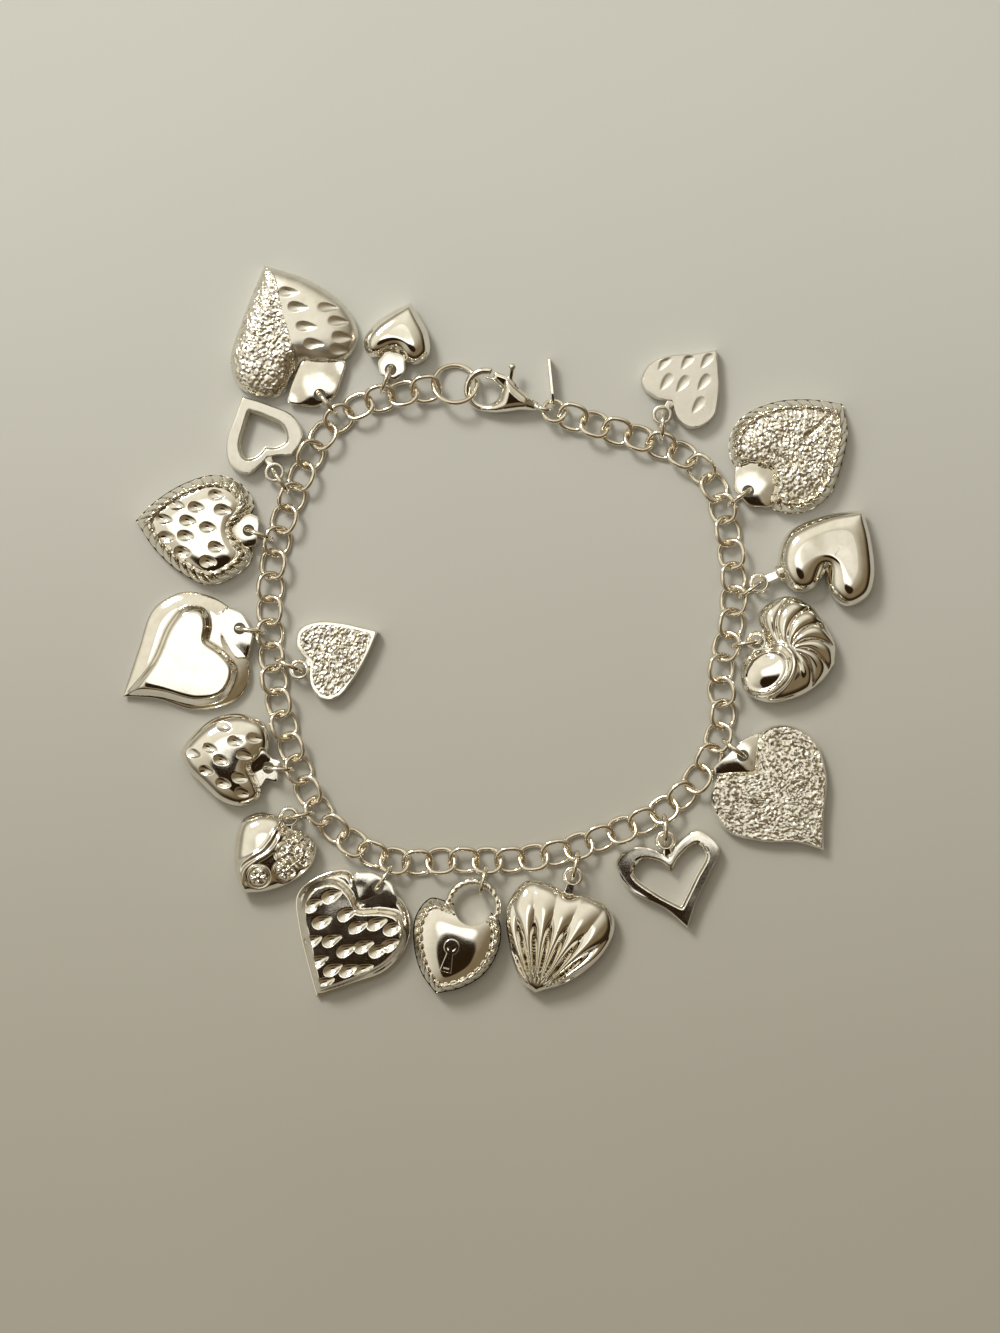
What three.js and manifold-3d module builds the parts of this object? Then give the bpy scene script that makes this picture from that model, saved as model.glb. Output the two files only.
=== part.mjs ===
import * as THREE from 'three';
import { mergeVertices } from 'three/addons/utils/BufferGeometryUtils.js';
import Module from 'manifold-3d';

const wasm = await Module();
wasm.setup();
const DEG = Math.PI / 180;
const UP = new THREE.Vector3(0, 0, 1);

// All sizes are millimetres, all angles degrees.

// Chain. The route is the middle line of the chain as it lies, from the tail ring to the end ring.
const CHAIN_ROUTE = [
  [13.3, 27.1], [19.3, 25.3], [25.0, 23.0], [28.7, 18.7], [30.2, 13.4], [31.1, 6.1],
  [30.6, 0.1], [29.1, -5.9], [29.8, -10.9], [28.3, -15.9], [25.3, -20.9], [20.6, -24.6],
  [14.6, -27.1], [7.9, -29.5], [0.7, -30.6], [-6.7, -30.5], [-13.4, -30.9], [-19.4, -28.5],
  [-23.8, -24.6], [-26.5, -19.3], [-28.9, -12.2], [-30.2, -5.9], [-30.7, 0.7], [-30.5, 6.7],
  [-29.5, 12.7], [-26.7, 20.1], [-23.8, 25.8], [-19.4, 29.7], [-13.4, 31.4],
];
const LINK_WIRE = 0.65;
const LINK_WIDTH = 4.1;
const LINK_PITCH = 3.1;
const LINK_ROLL = 26;
const LINK_BITE = 0.05;
const LINK_FULLNESS = 0.72;
const END_LIFT = 0.6;
const END_LIFT_LINKS = 4;

// Rings
const RING_GAP = 0.15;
const TAIL_RING_AT = [7.13, 29.13];
const TAIL_RING_RADIUS = 1.5;
const TAIL_RING_WIRE = 0.6;
const TAIL_RING_TILT = 20;
const END_RING_RADIUS = 2.9;
const END_RING_WIRE = 0.66;
const END_RING_TILT = 26;
const END_RING_AXIS = -6;
const END_RING_RISE = 0.02;
const JUMP_RING_RADIUS = 1.8;
const JUMP_RING_WIRE = 0.6;
const JUMP_RING_REACH = 2.55;

// Clasp. Its own frame has the tail eye at the origin, the hook along -x and the knob along +y.
const CLASP_HEADING = -15.2;
const CLASP_LEVEL = 1.6;
const CLASP_ROLL = 12;
const EYE_RADIUS = 0.9;
const EYE_WIRE = 0.64;
const HOOK_CENTRE = [-8.0, 0.4];
const HOOK_BORE = 2.0;
const HOOK_WIDTH = 0.85;
const HOOK_TIP_ANGLE = 85;
const CLASP_THICKNESS = 2.6;
const CLASP_BEVEL = 0.28;
const HOOK_THINNING = 0.34;
const THINNING_FROM = 5.0;
const RING_FROM_HOOK = 4.15;
const SLOT = { x: [-6.6, -3.85], y: [0.3, 3.6], height: 1.2 };
const PIVOT = [-5.0, 1.5];
const PIN_RADIUS = 0.4;
const PIN_CLEARANCE = 0.15;
const LEVER_THICKNESS = 0.9;
const LEVER_HUB = 0.95;
const KNOB_AT = [-5.4, 4.2];
const KNOB_RADIUS = 0.5;

// Tag
const TAG_HEADING = 96;
const TAG_LENGTH = 6.6;
const TAG_HEIGHT = 2.2;
const TAG_THICKNESS = 0.4;
const TAG_HOLE = 0.5;
const TAG_RIM = 0.35;

// Tabs that carry the charms
const TAB_LOW = 1.0;
const TAB_THICKNESS = 0.6;
const TAB_HOLE = 0.8;
const TAB_RIM = 0.6;
const HOLE_REACH = 4.05;
const RING_ROOM = 0.5;
const LARGE_CHARM = 17;

// Sections of a charm: the share of its outline that its flat back fills, then its front from the
// rim to the middle, as the share of the outline and the height there.
const FLAT = { back: 1, front: [[1, 1.4], [0.93, 1.85], [0, 1.95]] };
const DOMED = { back: 0.97, front: [[1, 0.8], [0.85, 2.1], [0.5, 2.9], [0, 3.1]] };
const PUFFED = { back: 0.72, front: [[1, 1.4], [0.86, 2.7], [0.52, 3.6], [0, 3.9]] };
const STEPPED = { back: 1, front: [[1, 1.1], [0.87, 1.35], [0.82, 2.2], [0.5, 3.0], [0, 3.2]] };

// Charms, each in its own frame: the hole of its tab at the origin and the point along +y.
const CHARMS = {
  hammered: {
    station: 0.074, swing: 17, turn: -39, notch: [-0.2, 2.1], tip: [-0.1, 11.3], sections: FLAT,
    right: [[2.0, 0.8], [4.4, 1.3], [5.4, 4.1], [3.9, 7.1], [1.7, 9.5]],
    left: [[-2.0, 1.1], [-4.7, 1.2], [-5.7, 3.6], [-4.5, 6.4], [-1.8, 9.2]],
    dimples: [[-4.2, 5.4], [-2.2, 7.4], [-2.4, 3.7], [-0.6, 5.0], [1.3, 6.9], [2.8, 4.2]],
    dimple: { length: 1.9, width: 1.0, depth: 0.35, turn: 60 },
  },
  rope_glitter: {
    station: 0.139, swing: 20, turn: 10, notch: [0.1, 3.3], tip: [0.6, 17.2], sections: DOMED, rope: 0.22,
    right: [[3.6, 0.6], [7.0, 2.9], [8.1, 7.1], [6.1, 11.8], [3.6, 15.2]],
    left: [[-3.4, 1.1], [-6.3, 2.6], [-7.6, 6.0], [-6.1, 10.7], [-2.8, 14.6]],
  },
  floating: {
    station: 0.205, swing: 38, turn: 21, notch: [6.1, 6.6], tip: [5.9, 15.8], sections: PUFFED,
    right: [[8.1, 4.3], [11.4, 3.9], [13.0, 6.5], [12.3, 9.2], [8.9, 13.3]],
    left: [[6.4, 3.4], [4.5, 1.7], [0.9, 3.1], [-0.7, 7.3], [2.2, 12.4]],
    tab: { rim: 0.9, to: [2.6, 4.6], half: 0.9 },
  },
  swirl: {
    station: 0.238, swing: 25, turn: -28, notch: [0.2, 1.6], tip: [-0.6, 10.8], sections: PUFFED,
    right: [[2.3, -0.8], [6.5, 0.3], [7.3, 3.7], [5.4, 7.4], [2.3, 9.9]],
    left: [[-3.7, -1.0], [-7.0, 1.6], [-6.9, 5.3], [-4.9, 8.2], [-3.0, 10.0]],
    hub: [-0.4, 4.2], ripple: 0.2,
  },
  glitter: {
    station: 0.303, swing: -17, turn: -12, notch: [0.1, 2.2], tip: [0.1, 16.6], sections: FLAT,
    right: [[4.2, -0.2], [7.2, 1.8], [8.2, 6.1], [5.7, 10.2], [2.0, 13.7]],
    left: [[-3.8, -0.8], [-7.1, 0.8], [-8.6, 4.5], [-6.7, 9.3], [-2.5, 13.6]],
  },
  open: {
    station: 0.369, swing: -30, turn: 12, notch: [0.2, 2.3], tip: [0.2, 12.1], sections: FLAT,
    right: [[1.9, 0.5], [4.3, -0.4], [7.2, 1.1], [6.5, 4.9], [2.4, 8.9]],
    left: [[-1.3, 0.8], [-4.6, -0.3], [-6.7, 2.8], [-4.7, 5.7], [-1.7, 9.2]],
    frame: 0.62,
  },
  fluted: {
    station: 0.434, swing: -30, turn: -9, notch: [-0.2, 2.3], tip: [-0.5, 16.3], sections: PUFFED,
    right: [[2.8, 1.9], [5.8, 2.7], [7.0, 6.7], [4.9, 11.6], [1.8, 15.5]],
    left: [[-2.8, 1.6], [-5.9, 2.3], [-7.6, 4.6], [-7.1, 8.9], [-4.2, 13.4]],
    hub: [-0.4, 13.6], ripple: 0.2, tab: { rim: 1.1, to: [-0.2, 3.6], half: 1.2 },
  },
  padlock: {
    station: 0.5, swing: -11, turn: -6, notch: [1.6, 2.8], tip: [1.4, 14.9], sections: PUFFED,
    right: [[4.3, 2.7], [6.1, 3.0], [7.2, 5.8], [6.4, 9.3], [4.1, 12.9]],
    left: [[-1.4, 2.2], [-3.6, 3.0], [-4.7, 6.2], [-4.0, 10.2], [-1.6, 13.1]],
    shackle: { centre: [0.3, 2.3], bore: 2.5, radius: 3.3, wire: 0.9, level: 1.45 },
    keyhole: { at: [1.4, 8.3], radius: 0.75, slot: 2.6, turn: 0, height: 0.4 },
  },
  teardrop: {
    station: 0.566, swing: -21, turn: 6, notch: [1.2, 2.7], tip: [0.6, 16.8], sections: STEPPED,
    right: [[4.3, -0.1], [7.5, 2.1], [9.1, 5.8], [7.0, 9.5], [3.8, 13.3]],
    left: [[-1.9, -0.1], [-5.0, 1.0], [-7.0, 5.0], [-6.3, 9.4], [-2.8, 13.3]],
    dimples: [
      [6.6, 5.9], [4.7, 3.5], [2.0, 4.9], [4.5, 7.3], [-0.1, 5.7], [-2.1, 4.2], [-4.1, 3.8], [4.5, 10.4],
      [2.2, 8.9], [-0.1, 9.2], [-1.9, 7.7], [-3.9, 7.5], [-5.5, 6.3], [2.5, 12.4], [0.3, 12.5],
      [-1.6, 11.6], [-3.5, 10.9], [0.4, 14.9],
    ],
    dimple: { length: 2.0, width: 0.9, depth: 0.45, turn: 50 },
  },
  flower: {
    station: 0.631, swing: -23, turn: 42, notch: [-0.9, 1.3], tip: [-1.0, 11.8], sections: PUFFED,
    right: [[0.9, 0.5], [3.4, 1.6], [4.8, 4.1], [3.6, 7.3], [1.4, 10.1]],
    left: [[-2.6, 0.3], [-5.2, 0.9], [-6.3, 3.5], [-5.4, 6.9], [-3.2, 10.1]],
    grooves: [[[-0.3, 1.9], [-0.8, 4.6]], [[-0.8, 4.4], [-0.1, 7.2]], [[-0.1, 7.0], [0.5, 9.3]]],
    dimples: [[-2.8, 3.8], [-4.3, 2.8], [-3.8, 5.9], [-1.8, 8.2]],
    dimple: { length: 1.1, width: 0.9, depth: 0.4, turn: 30 },
  },
  strawberry: {
    station: 0.664, swing: -24, turn: -8, notch: [-0.4, 1.8], tip: [-0.2, 11.9], sections: PUFFED,
    right: [[2.8, 0.3], [5.7, 1.5], [6.5, 4.7], [5.1, 8.4], [1.9, 11.1]],
    left: [[-3.9, 0.3], [-5.7, 2.5], [-5.5, 5.3], [-3.8, 8.2], [-1.9, 10.8]],
    dimples: [
      [0.1, 9.9], [1.2, 7.9], [2.7, 4.8], [3.6, 2.4], [-0.1, 6.1], [1.2, 3.2], [-1.8, 7.8], [-1.9, 3.3],
      [-3.0, 5.3], [-3.8, 2.6],
    ],
    dimple: { length: 1.9, width: 1.0, depth: 0.45, turn: 85 },
  },
  small_glitter: {
    station: 0.746, swing: -30, turn: 48, inside: true, notch: [-0.3, 1.6], tip: [-0.6, 11.7], sections: FLAT,
    right: [[2.2, 0.6], [4.3, 0.9], [5.5, 2.7], [4.2, 6.1], [1.7, 9.4]],
    left: [[-3.0, 0.9], [-4.9, 2.1], [-5.0, 4.6], [-3.5, 7.7], [-1.8, 10.1]],
  },
  curled: {
    station: 0.762, swing: -12, turn: 40, notch: [-0.8, 1.7], tip: [0.1, 18.1], sections: STEPPED,
    right: [[1.8, -0.3], [4.6, 0.4], [8.0, 3.9], [8.2, 8.5], [4.5, 13.1]],
    left: [[-4.2, 1.2], [-7.0, 2.9], [-8.0, 6.5], [-6.2, 10.8], [-2.5, 14.3]],
  },
  rope_dimpled: {
    station: 0.828, swing: -7, turn: 15, notch: [-0.1, 1.5], tip: [-0.2, 15.2], sections: DOMED, rope: 0.22,
    right: [[3.2, -0.4], [6.0, 1.4], [7.0, 5.0], [5.5, 9.1], [2.6, 12.9]],
    left: [[-3.1, -0.9], [-5.6, 0.5], [-7.8, 4.4], [-6.4, 8.7], [-3.6, 12.4]],
    dimples: [
      [4.4, 4.6], [2.3, 9.7], [2.3, 7.1], [2.3, 3.6], [0.3, 11.2], [-0.2, 5.3], [-1.6, 8.1], [-2.7, 3.9],
      [-3.8, 8.3], [-4.7, 4.8],
    ],
    dimple: { length: 2.2, width: 1.1, depth: 0.5, turn: 88 },
  },
  open_satin: {
    station: 0.861, swing: -33, turn: -12, notch: [-0.1, 2.1], tip: [0, 11.0], sections: FLAT,
    right: [[1.3, 1.8], [3.0, 1.2], [5.3, 2.8], [5.3, 5.8], [2.8, 8.6]],
    left: [[-1.3, 1.6], [-3.5, 1.1], [-5.1, 3.1], [-4.4, 6.0], [-1.7, 9.1]],
    frame: 0.6,
  },
  half_glitter: {
    station: 0.926, swing: -1, turn: -18, notch: [-0.7, 5.0], tip: [-0.6, 18.8], sections: DOMED,
    right: [[2.3, 3.2], [5.1, 3.1], [7.6, 5.3], [7.6, 9.5], [4.2, 14.8]],
    left: [[-4.9, 1.8], [-7.4, 2.4], [-9.7, 5.0], [-9.5, 8.5], [-6.7, 12.3]],
    dimples: [[1.2, 13.4], [1.6, 11.2], [5.2, 9.7], [1.7, 8.4], [5.8, 7.6], [2.0, 5.9], [5.4, 5.6]],
    dimple: { length: 2.4, width: 0.9, depth: 0.5, turn: -28 },
    tab: { rim: 0.9, to: [-0.4, 7.0], half: 2.6 },
  },
  small: {
    station: 0.959, swing: -33, turn: 3, notch: [-0.1, 2.6], tip: [0, 9.0], sections: PUFFED,
    right: [[1.3, 1.8], [2.9, 1.9], [4.1, 3.6], [3.3, 5.9], [1.6, 7.8]],
    left: [[-1.6, 1.4], [-3.1, 1.1], [-4.1, 2.5], [-3.7, 4.9], [-2.0, 7.4]],
  },
};

const vec = ([x, y], z = 0) => new THREE.Vector3(x, y, z);

// Solids

function solidOf(geometry) {
  const bare = geometry.clone();
  bare.deleteAttribute('normal');
  bare.deleteAttribute('uv');
  const merged = mergeVertices(bare, 1e-5);
  return new wasm.Manifold(new wasm.Mesh({
    numProp: 3,
    vertProperties: new Float32Array(merged.attributes.position.array),
    triVerts: new Uint32Array(merged.index.array),
  }));
}

function geometryOf(solid) {
  const mesh = solid.getMesh();
  const geometry = new THREE.BufferGeometry();
  geometry.setAttribute('position', new THREE.BufferAttribute(new Float32Array(mesh.vertProperties), 3));
  geometry.setIndex(new THREE.BufferAttribute(new Uint32Array(mesh.triVerts), 1));
  geometry.computeVertexNormals();
  return geometry;
}

function join(parts) {
  return parts.slice(1).reduce((sum, part) => sum.add(part), parts[0]);
}

function box(x, y, z) {
  const geometry = new THREE.BoxGeometry(x[1] - x[0], y[1] - y[0], z[1] - z[0]);
  return geometry.translate((x[0] + x[1]) / 2, (y[0] + y[1]) / 2, (z[0] + z[1]) / 2);
}

function rod(radius, low, high, sides) {
  const geometry = new THREE.CylinderGeometry(radius, radius, high - low, sides);
  return geometry.rotateX(90 * DEG).translate(0, 0, (low + high) / 2);
}

// A closed wire hoop in the xy plane. Fullness under 1 makes its ends blunter than an ellipse.
function hoop({ x, y, wire, around, sides, fullness = 1, start = 0, phase = 0 }) {
  const position = [];
  const index = [];
  const blunt = (value) => Math.sign(value) * Math.abs(value) ** fullness;
  for (let i = 0; i < around; i += 1) {
    const angle = start * DEG + (2 * Math.PI * i) / around;
    const centre = new THREE.Vector3(x * blunt(Math.cos(angle)), y * blunt(Math.sin(angle)), 0);
    const out = new THREE.Vector3(Math.cos(angle) * y, Math.sin(angle) * x, 0).normalize();
    for (let j = 0; j < sides; j += 1) {
      const turn = phase * DEG + (2 * Math.PI * j) / sides;
      const point = centre.clone().addScaledVector(out, (wire / 2) * Math.cos(turn));
      position.push(point.x, point.y, (wire / 2) * Math.sin(turn));
      const next = ((i + 1) % around) * sides;
      const [a, b] = [i * sides + j, i * sides + ((j + 1) % sides)];
      const [c, d] = [next + j, next + ((j + 1) % sides)];
      index.push(a, c, b, b, c, d);
    }
  }
  const geometry = new THREE.BufferGeometry();
  geometry.setAttribute('position', new THREE.Float32BufferAttribute(position, 3));
  geometry.setIndex(index);
  return geometry;
}

// Chain

const clasp = new THREE.Matrix4();
const claspDirection = new THREE.Vector3(-Math.cos(CLASP_HEADING * DEG), -Math.sin(CLASP_HEADING * DEG), 0);
const tailCentre = vec(TAIL_RING_AT);
const eyeCentre = tailCentre.clone().addScaledVector(claspDirection, TAIL_RING_RADIUS);
const endCentre = eyeCentre.clone().addScaledVector(claspDirection, -HOOK_CENTRE[0] + RING_FROM_HOOK);

function chainJoints() {
  const first = vec(CHAIN_ROUTE[0]);
  const last = vec(CHAIN_ROUTE[CHAIN_ROUTE.length - 1]);
  const inTail = TAIL_RING_RADIUS - TAIL_RING_WIRE / 2 - RING_GAP - LINK_BITE / 2;
  const inEnd = END_RING_RADIUS - END_RING_WIRE / 2 - RING_GAP - LINK_BITE / 2;
  const start = tailCentre.clone().add(first.sub(tailCentre).setLength(inTail));
  const end = endCentre.clone().add(last.sub(endCentre).setLength(inEnd));
  const curve = new THREE.CatmullRomCurve3([start, ...CHAIN_ROUTE.map((p) => vec(p)), end]);
  curve.curveType = 'catmullrom';
  const dense = curve.getPoints(1500);
  const count = 2 * Math.floor(curve.getLength() / LINK_PITCH / 2) + 1;
  let low = LINK_PITCH * 0.8;
  let high = LINK_PITCH * 1.2;
  let best = [];
  for (let pass = 0; pass < 40; pass += 1) {
    const pitch = (low + high) / 2;
    const list = [dense[0]];
    for (let i = 1; i < dense.length && list.length <= count; i += 1) {
      const here = list[list.length - 1];
      const reach = dense[i].distanceTo(here);
      if (reach >= pitch) {
        const before = dense[i - 1].distanceTo(here);
        list.push(dense[i - 1].clone().lerp(dense[i], (pitch - before) / (reach - before)));
      }
    }
    if (list.length > count) {
      low = pitch;
      best = list;
    } else {
      high = pitch;
    }
  }
  return { points: best, count, pitch: low };
}

const chainWalk = chainJoints();
const rollSin = Math.sin(LINK_ROLL * DEG);
const restLevel = ((LINK_WIDTH - LINK_WIRE) / 2) * rollSin + LINK_WIRE / 2;
chainWalk.points.forEach((point, i) => {
  const fromEnd = Math.min(i, chainWalk.count - i);
  const share = Math.max(0, 1 - fromEnd / END_LIFT_LINKS);
  point.z = restLevel + END_LIFT * share * share * (3 - 2 * share);
});

const links = chainWalk.points.slice(1).map((to, i) => {
  const from = chainWalk.points[i];
  const along = to.clone().sub(from).normalize();
  const out = new THREE.Vector3(-along.y, along.x, 0).normalize();
  const roll = (i % 2 === 0 ? 1 : -1) * LINK_ROLL * DEG;
  return { centre: from.clone().add(to).multiplyScalar(0.5), along, out, roll };
});

function chain() {
  const around = 10;
  const start = 180 / around;
  const half = (chainWalk.pitch + LINK_WIRE - LINK_BITE) / 2 / Math.cos(start * DEG) ** LINK_FULLNESS;
  const side = (LINK_WIDTH - LINK_WIRE) / 2;
  const parts = links.map(({ centre, along, out, roll }) => {
    const geometry = hoop({
      x: half, y: side, wire: LINK_WIRE, around, sides: 5, fullness: LINK_FULLNESS, start, phase: 180,
    });
    const lateral = out.clone().applyAxisAngle(along, roll);
    const matrix = new THREE.Matrix4().makeBasis(along, lateral, along.clone().cross(lateral));
    return solidOf(geometry.applyMatrix4(matrix.setPosition(centre)));
  });
  return geometryOf(join(parts));
}

// Clasp

clasp.makeRotationZ(CLASP_HEADING * DEG);
clasp.multiply(new THREE.Matrix4().makeRotationX(CLASP_ROLL * DEG));
clasp.setPosition(eyeCentre.x, eyeCentre.y, CLASP_LEVEL);

function arcPoints([cx, cy], radius, from, to, steps) {
  return Array.from({ length: steps + 1 }, (_, i) => {
    const angle = (from + ((to - from) * i) / steps) * DEG;
    return [cx + radius * Math.cos(angle), cy + radius * Math.sin(angle)];
  });
}

function slab(points, thickness, bevel, holes = []) {
  const shape = new THREE.Shape(points.map(([x, y]) => new THREE.Vector2(x, y)));
  holes.forEach((hole) => shape.holes.push(new THREE.Path(hole.map(([x, y]) => new THREE.Vector2(x, y)))));
  const geometry = new THREE.ExtrudeGeometry(shape, {
    depth: thickness - 2 * bevel,
    bevelEnabled: bevel > 0,
    bevelThickness: bevel,
    bevelSize: bevel,
    bevelOffset: -bevel,
    bevelSegments: 1,
  });
  return geometry.translate(0, 0, -(thickness - 2 * bevel) / 2);
}

function claspBody() {
  const outer = HOOK_BORE + HOOK_WIDTH;
  const outline = [
    [-0.85, 0.5], [-2.2, 1.0], [-3.7, 1.7], [-5.9, 2.75], [-6.05, 1.9], [-6.1, 1.2],
    ...arcPoints(HOOK_CENTRE, HOOK_BORE, -20, -360 + HOOK_TIP_ANGLE, 11),
    ...arcPoints(HOOK_CENTRE, outer, HOOK_TIP_ANGLE, 285, 10),
    [-5.9, -2.25], [-3.0, -1.05], [-0.85, -0.5],
  ];
  const geometry = slab(outline, CLASP_THICKNESS, CLASP_BEVEL);
  const { position } = geometry.attributes;
  for (let i = 0; i < position.count; i += 1) {
    const along = (-position.getX(i) - THINNING_FROM) / (-HOOK_CENTRE[0] - THINNING_FROM);
    const share = Math.min(1, Math.max(0, along));
    const tail = Math.min(1, Math.max(0.55, -position.getX(i) / 2.6));
    position.setZ(i, position.getZ(i) * (1 - (1 - HOOK_THINNING) * share) * tail);
  }
  const eye = hoop({ x: EYE_RADIUS, y: EYE_RADIUS, wire: EYE_WIRE, around: 12, sides: 6 }).rotateX(90 * DEG);
  const slot = box(SLOT.x, SLOT.y, [-SLOT.height / 2, SLOT.height / 2]);
  const pin = rod(PIN_RADIUS, -SLOT.height / 2 - 0.3, SLOT.height / 2 + 0.3, 10).translate(...PIVOT, 0);
  const solid = solidOf(geometry).add(solidOf(eye)).subtract(solidOf(slot)).add(solidOf(pin));
  return geometryOf(solid).applyMatrix4(clasp);
}

function claspLever() {
  const [px, py] = PIVOT;
  const reach = HOOK_CENTRE[0] - px;
  const outline = [
    ...arcPoints(PIVOT, LEVER_HUB, -125, 62, 7),
    [px - 0.3, py + 1.3], [px + reach / 3, py + 1.45], [px + reach * 0.82, py + 1.55],
    [px + reach * 0.85, py + 0.72], [px + reach * 1.11, py + 0.68], [px + reach * 1.11, py + 0.25],
    [px + reach * 0.67, py + 0.2], [px + reach / 3, py - 0.4],
  ];
  const hole = arcPoints(PIVOT, PIN_RADIUS + PIN_CLEARANCE, 0, 324, 9);
  const plate = slab(outline, LEVER_THICKNESS, 0.1, [hole]);
  const knob = new THREE.SphereGeometry(KNOB_RADIUS, 8, 6).translate(...KNOB_AT, 0);
  const stemFrom = new THREE.Vector3(px - 0.2, py + 1.1, 0);
  const stemTo = vec(KNOB_AT);
  const stem = new THREE.CylinderGeometry(0.28, 0.34, stemFrom.distanceTo(stemTo), 8);
  const lean = stemTo.clone().sub(stemFrom).normalize();
  stem.applyQuaternion(new THREE.Quaternion().setFromUnitVectors(new THREE.Vector3(0, 1, 0), lean));
  stem.translate(...stemFrom.clone().add(stemTo).multiplyScalar(0.5).toArray());
  return geometryOf(solidOf(plate).add(solidOf(knob)).add(solidOf(stem))).applyMatrix4(clasp);
}

// Rings and tag

// Lays a ring flat at a centre, its +x side toward a heading, and lowers its outer side.
function layRing(geometry, centre, heading, tilt) {
  geometry.rotateX(-tilt * DEG).rotateZ(heading * DEG);
  return geometry.translate(centre.x, centre.y, centre.z);
}

function tailRing() {
  const centre = tailCentre.clone().setZ(CLASP_LEVEL);
  const geometry = hoop({ x: TAIL_RING_RADIUS, y: TAIL_RING_RADIUS, wire: TAIL_RING_WIRE, around: 12, sides: 6 });
  return layRing(geometry, centre, CLASP_HEADING, TAIL_RING_TILT);
}

function endRing() {
  const centre = endCentre.clone().setZ(CLASP_LEVEL + END_RING_RISE);
  const geometry = hoop({ x: END_RING_RADIUS, y: END_RING_RADIUS, wire: END_RING_WIRE, around: 16, sides: 6 });
  return layRing(geometry, centre, END_RING_AXIS, END_RING_TILT);
}

function tag() {
  const off = (TAG_HEADING - CLASP_HEADING) * DEG;
  const drop = Math.sin(off) * Math.sin(TAIL_RING_TILT * DEG) * TAIL_RING_RADIUS;
  const reach = TAIL_RING_RADIUS * Math.hypot(Math.cos(off), Math.sin(off) * Math.cos(TAIL_RING_TILT * DEG));
  const inner = TAG_HOLE + TAG_RIM;
  const half = TAG_HEIGHT / 2;
  const outline = [
    ...arcPoints([0, 0], inner, 110, 250, 4),
    [0.9, -half], [TAG_LENGTH - inner - 0.3, -half], [TAG_LENGTH - inner, -half + 0.3],
    [TAG_LENGTH - inner, half - 0.3], [TAG_LENGTH - inner - 0.3, half], [0.9, half],
  ];
  const hole = arcPoints([0, 0], TAG_HOLE, 0, 315, 7);
  const geometry = slab(outline, TAG_THICKNESS, 0, [hole]).rotateX(90 * DEG);
  geometry.translate(reach, 0, CLASP_LEVEL - drop).rotateZ(TAG_HEADING * DEG);
  return geometryOf(solidOf(geometry.translate(tailCentre.x, tailCentre.y, 0)));
}

// Charms

function heartOutline({ notch, right, left, tip }) {
  const half = (points) => {
    const curve = new THREE.CatmullRomCurve3([notch, ...points, tip].map((p) => vec(p)));
    return curve.getPoints(curve.getLength() > LARGE_CHARM ? 11 : 9);
  };
  return [...half(right), ...half(left).reverse().slice(1, -1)];
}

function middleOf({ notch, tip }) {
  return vec(notch).lerp(vec(tip), 0.38);
}

// How far out a point lies between the middle and the outline, from 0 to 1.
function shareOf(point, middle, outline) {
  const ray = point.clone().sub(middle);
  const length = ray.length();
  if (length < 1e-6) {
    return 0;
  }
  let best = 0;
  outline.forEach((from, i) => {
    const a = from.clone().sub(middle);
    const b = outline[(i + 1) % outline.length].clone().sub(middle);
    const edge = b.clone().sub(a);
    const cross = ray.x * edge.y - ray.y * edge.x;
    const out = (a.x * edge.y - a.y * edge.x) / cross;
    const along = (a.x * ray.y - a.y * ray.x) / cross;
    if (out > 0 && along >= -1e-6 && along <= 1 + 1e-6) {
      best = Math.max(best, 1 / out);
    }
  });
  return Math.min(1, best);
}

function heightAt(share, front) {
  const i = Math.max(1, front.findIndex(([limit]) => limit <= share));
  const [outer, inner] = [front[i - 1], front[i]];
  return inner[1] + ((outer[1] - inner[1]) * (share - inner[0])) / (outer[0] - inner[0]);
}

function heartBody(charm) {
  const outline = heartOutline(charm);
  const middle = middleOf(charm);
  const { back, front } = charm.sections;
  const hub = charm.hub ? vec(charm.hub) : middle;
  const rope = charm.rope ?? 0;
  const ripple = charm.ripple ?? 0;
  const rings = [outline.map((p) => middle.clone().lerp(p, back))];
  front.slice(0, -1).forEach(([share]) => {
    rings.push(outline.map((p, i) => {
      const wave = i % 2 === 0 ? 1 : -1;
      const spread = share === 1 ? 1 + (wave * rope) / 12 : share;
      const point = hub.clone().lerp(p, spread);
      const z = share === 1 ? front[0][1] : heightAt(shareOf(point, middle, outline), front);
      const swell = share === 1 ? rope * 0.5 : ripple;
      return point.setZ(z + wave * swell);
    }));
  });
  const position = [];
  const index = [];
  const around = outline.length;
  rings.flat().forEach((point) => position.push(point.x, point.y, point.z));
  rings.slice(1).forEach((_, k) => {
    for (let i = 0; i < around; i += 1) {
      const next = (i + 1) % around;
      const [a, b] = [k * around + i, k * around + next];
      index.push(a, b, a + around, b, b + around, a + around);
    }
  });
  const bottom = rings.flat().length;
  const top = (rings.length - 1) * around;
  position.push(middle.x, middle.y, 0);
  position.push(hub.x, hub.y, heightAt(shareOf(hub, middle, outline), front));
  for (let i = 0; i < around; i += 1) {
    const next = (i + 1) % around;
    index.push(bottom, next, i);
    index.push(bottom + 1, top + i, top + next);
  }
  const geometry = new THREE.BufferGeometry();
  geometry.setAttribute('position', new THREE.Float32BufferAttribute(position, 3));
  geometry.setIndex(index);
  return geometry;
}

function surfaceLevel([x, y], charm) {
  const share = shareOf(vec([x, y]), middleOf(charm), heartOutline(charm));
  return heightAt(share, charm.sections.front);
}

function pit([x, y], length, width, depth, turn, charm) {
  const geometry = new THREE.OctahedronGeometry(1).scale(length / 2, width / 2, depth);
  geometry.rotateZ(turn * DEG);
  return geometry.translate(x, y, surfaceLevel([x, y], charm) + depth * 0.15);
}

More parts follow.
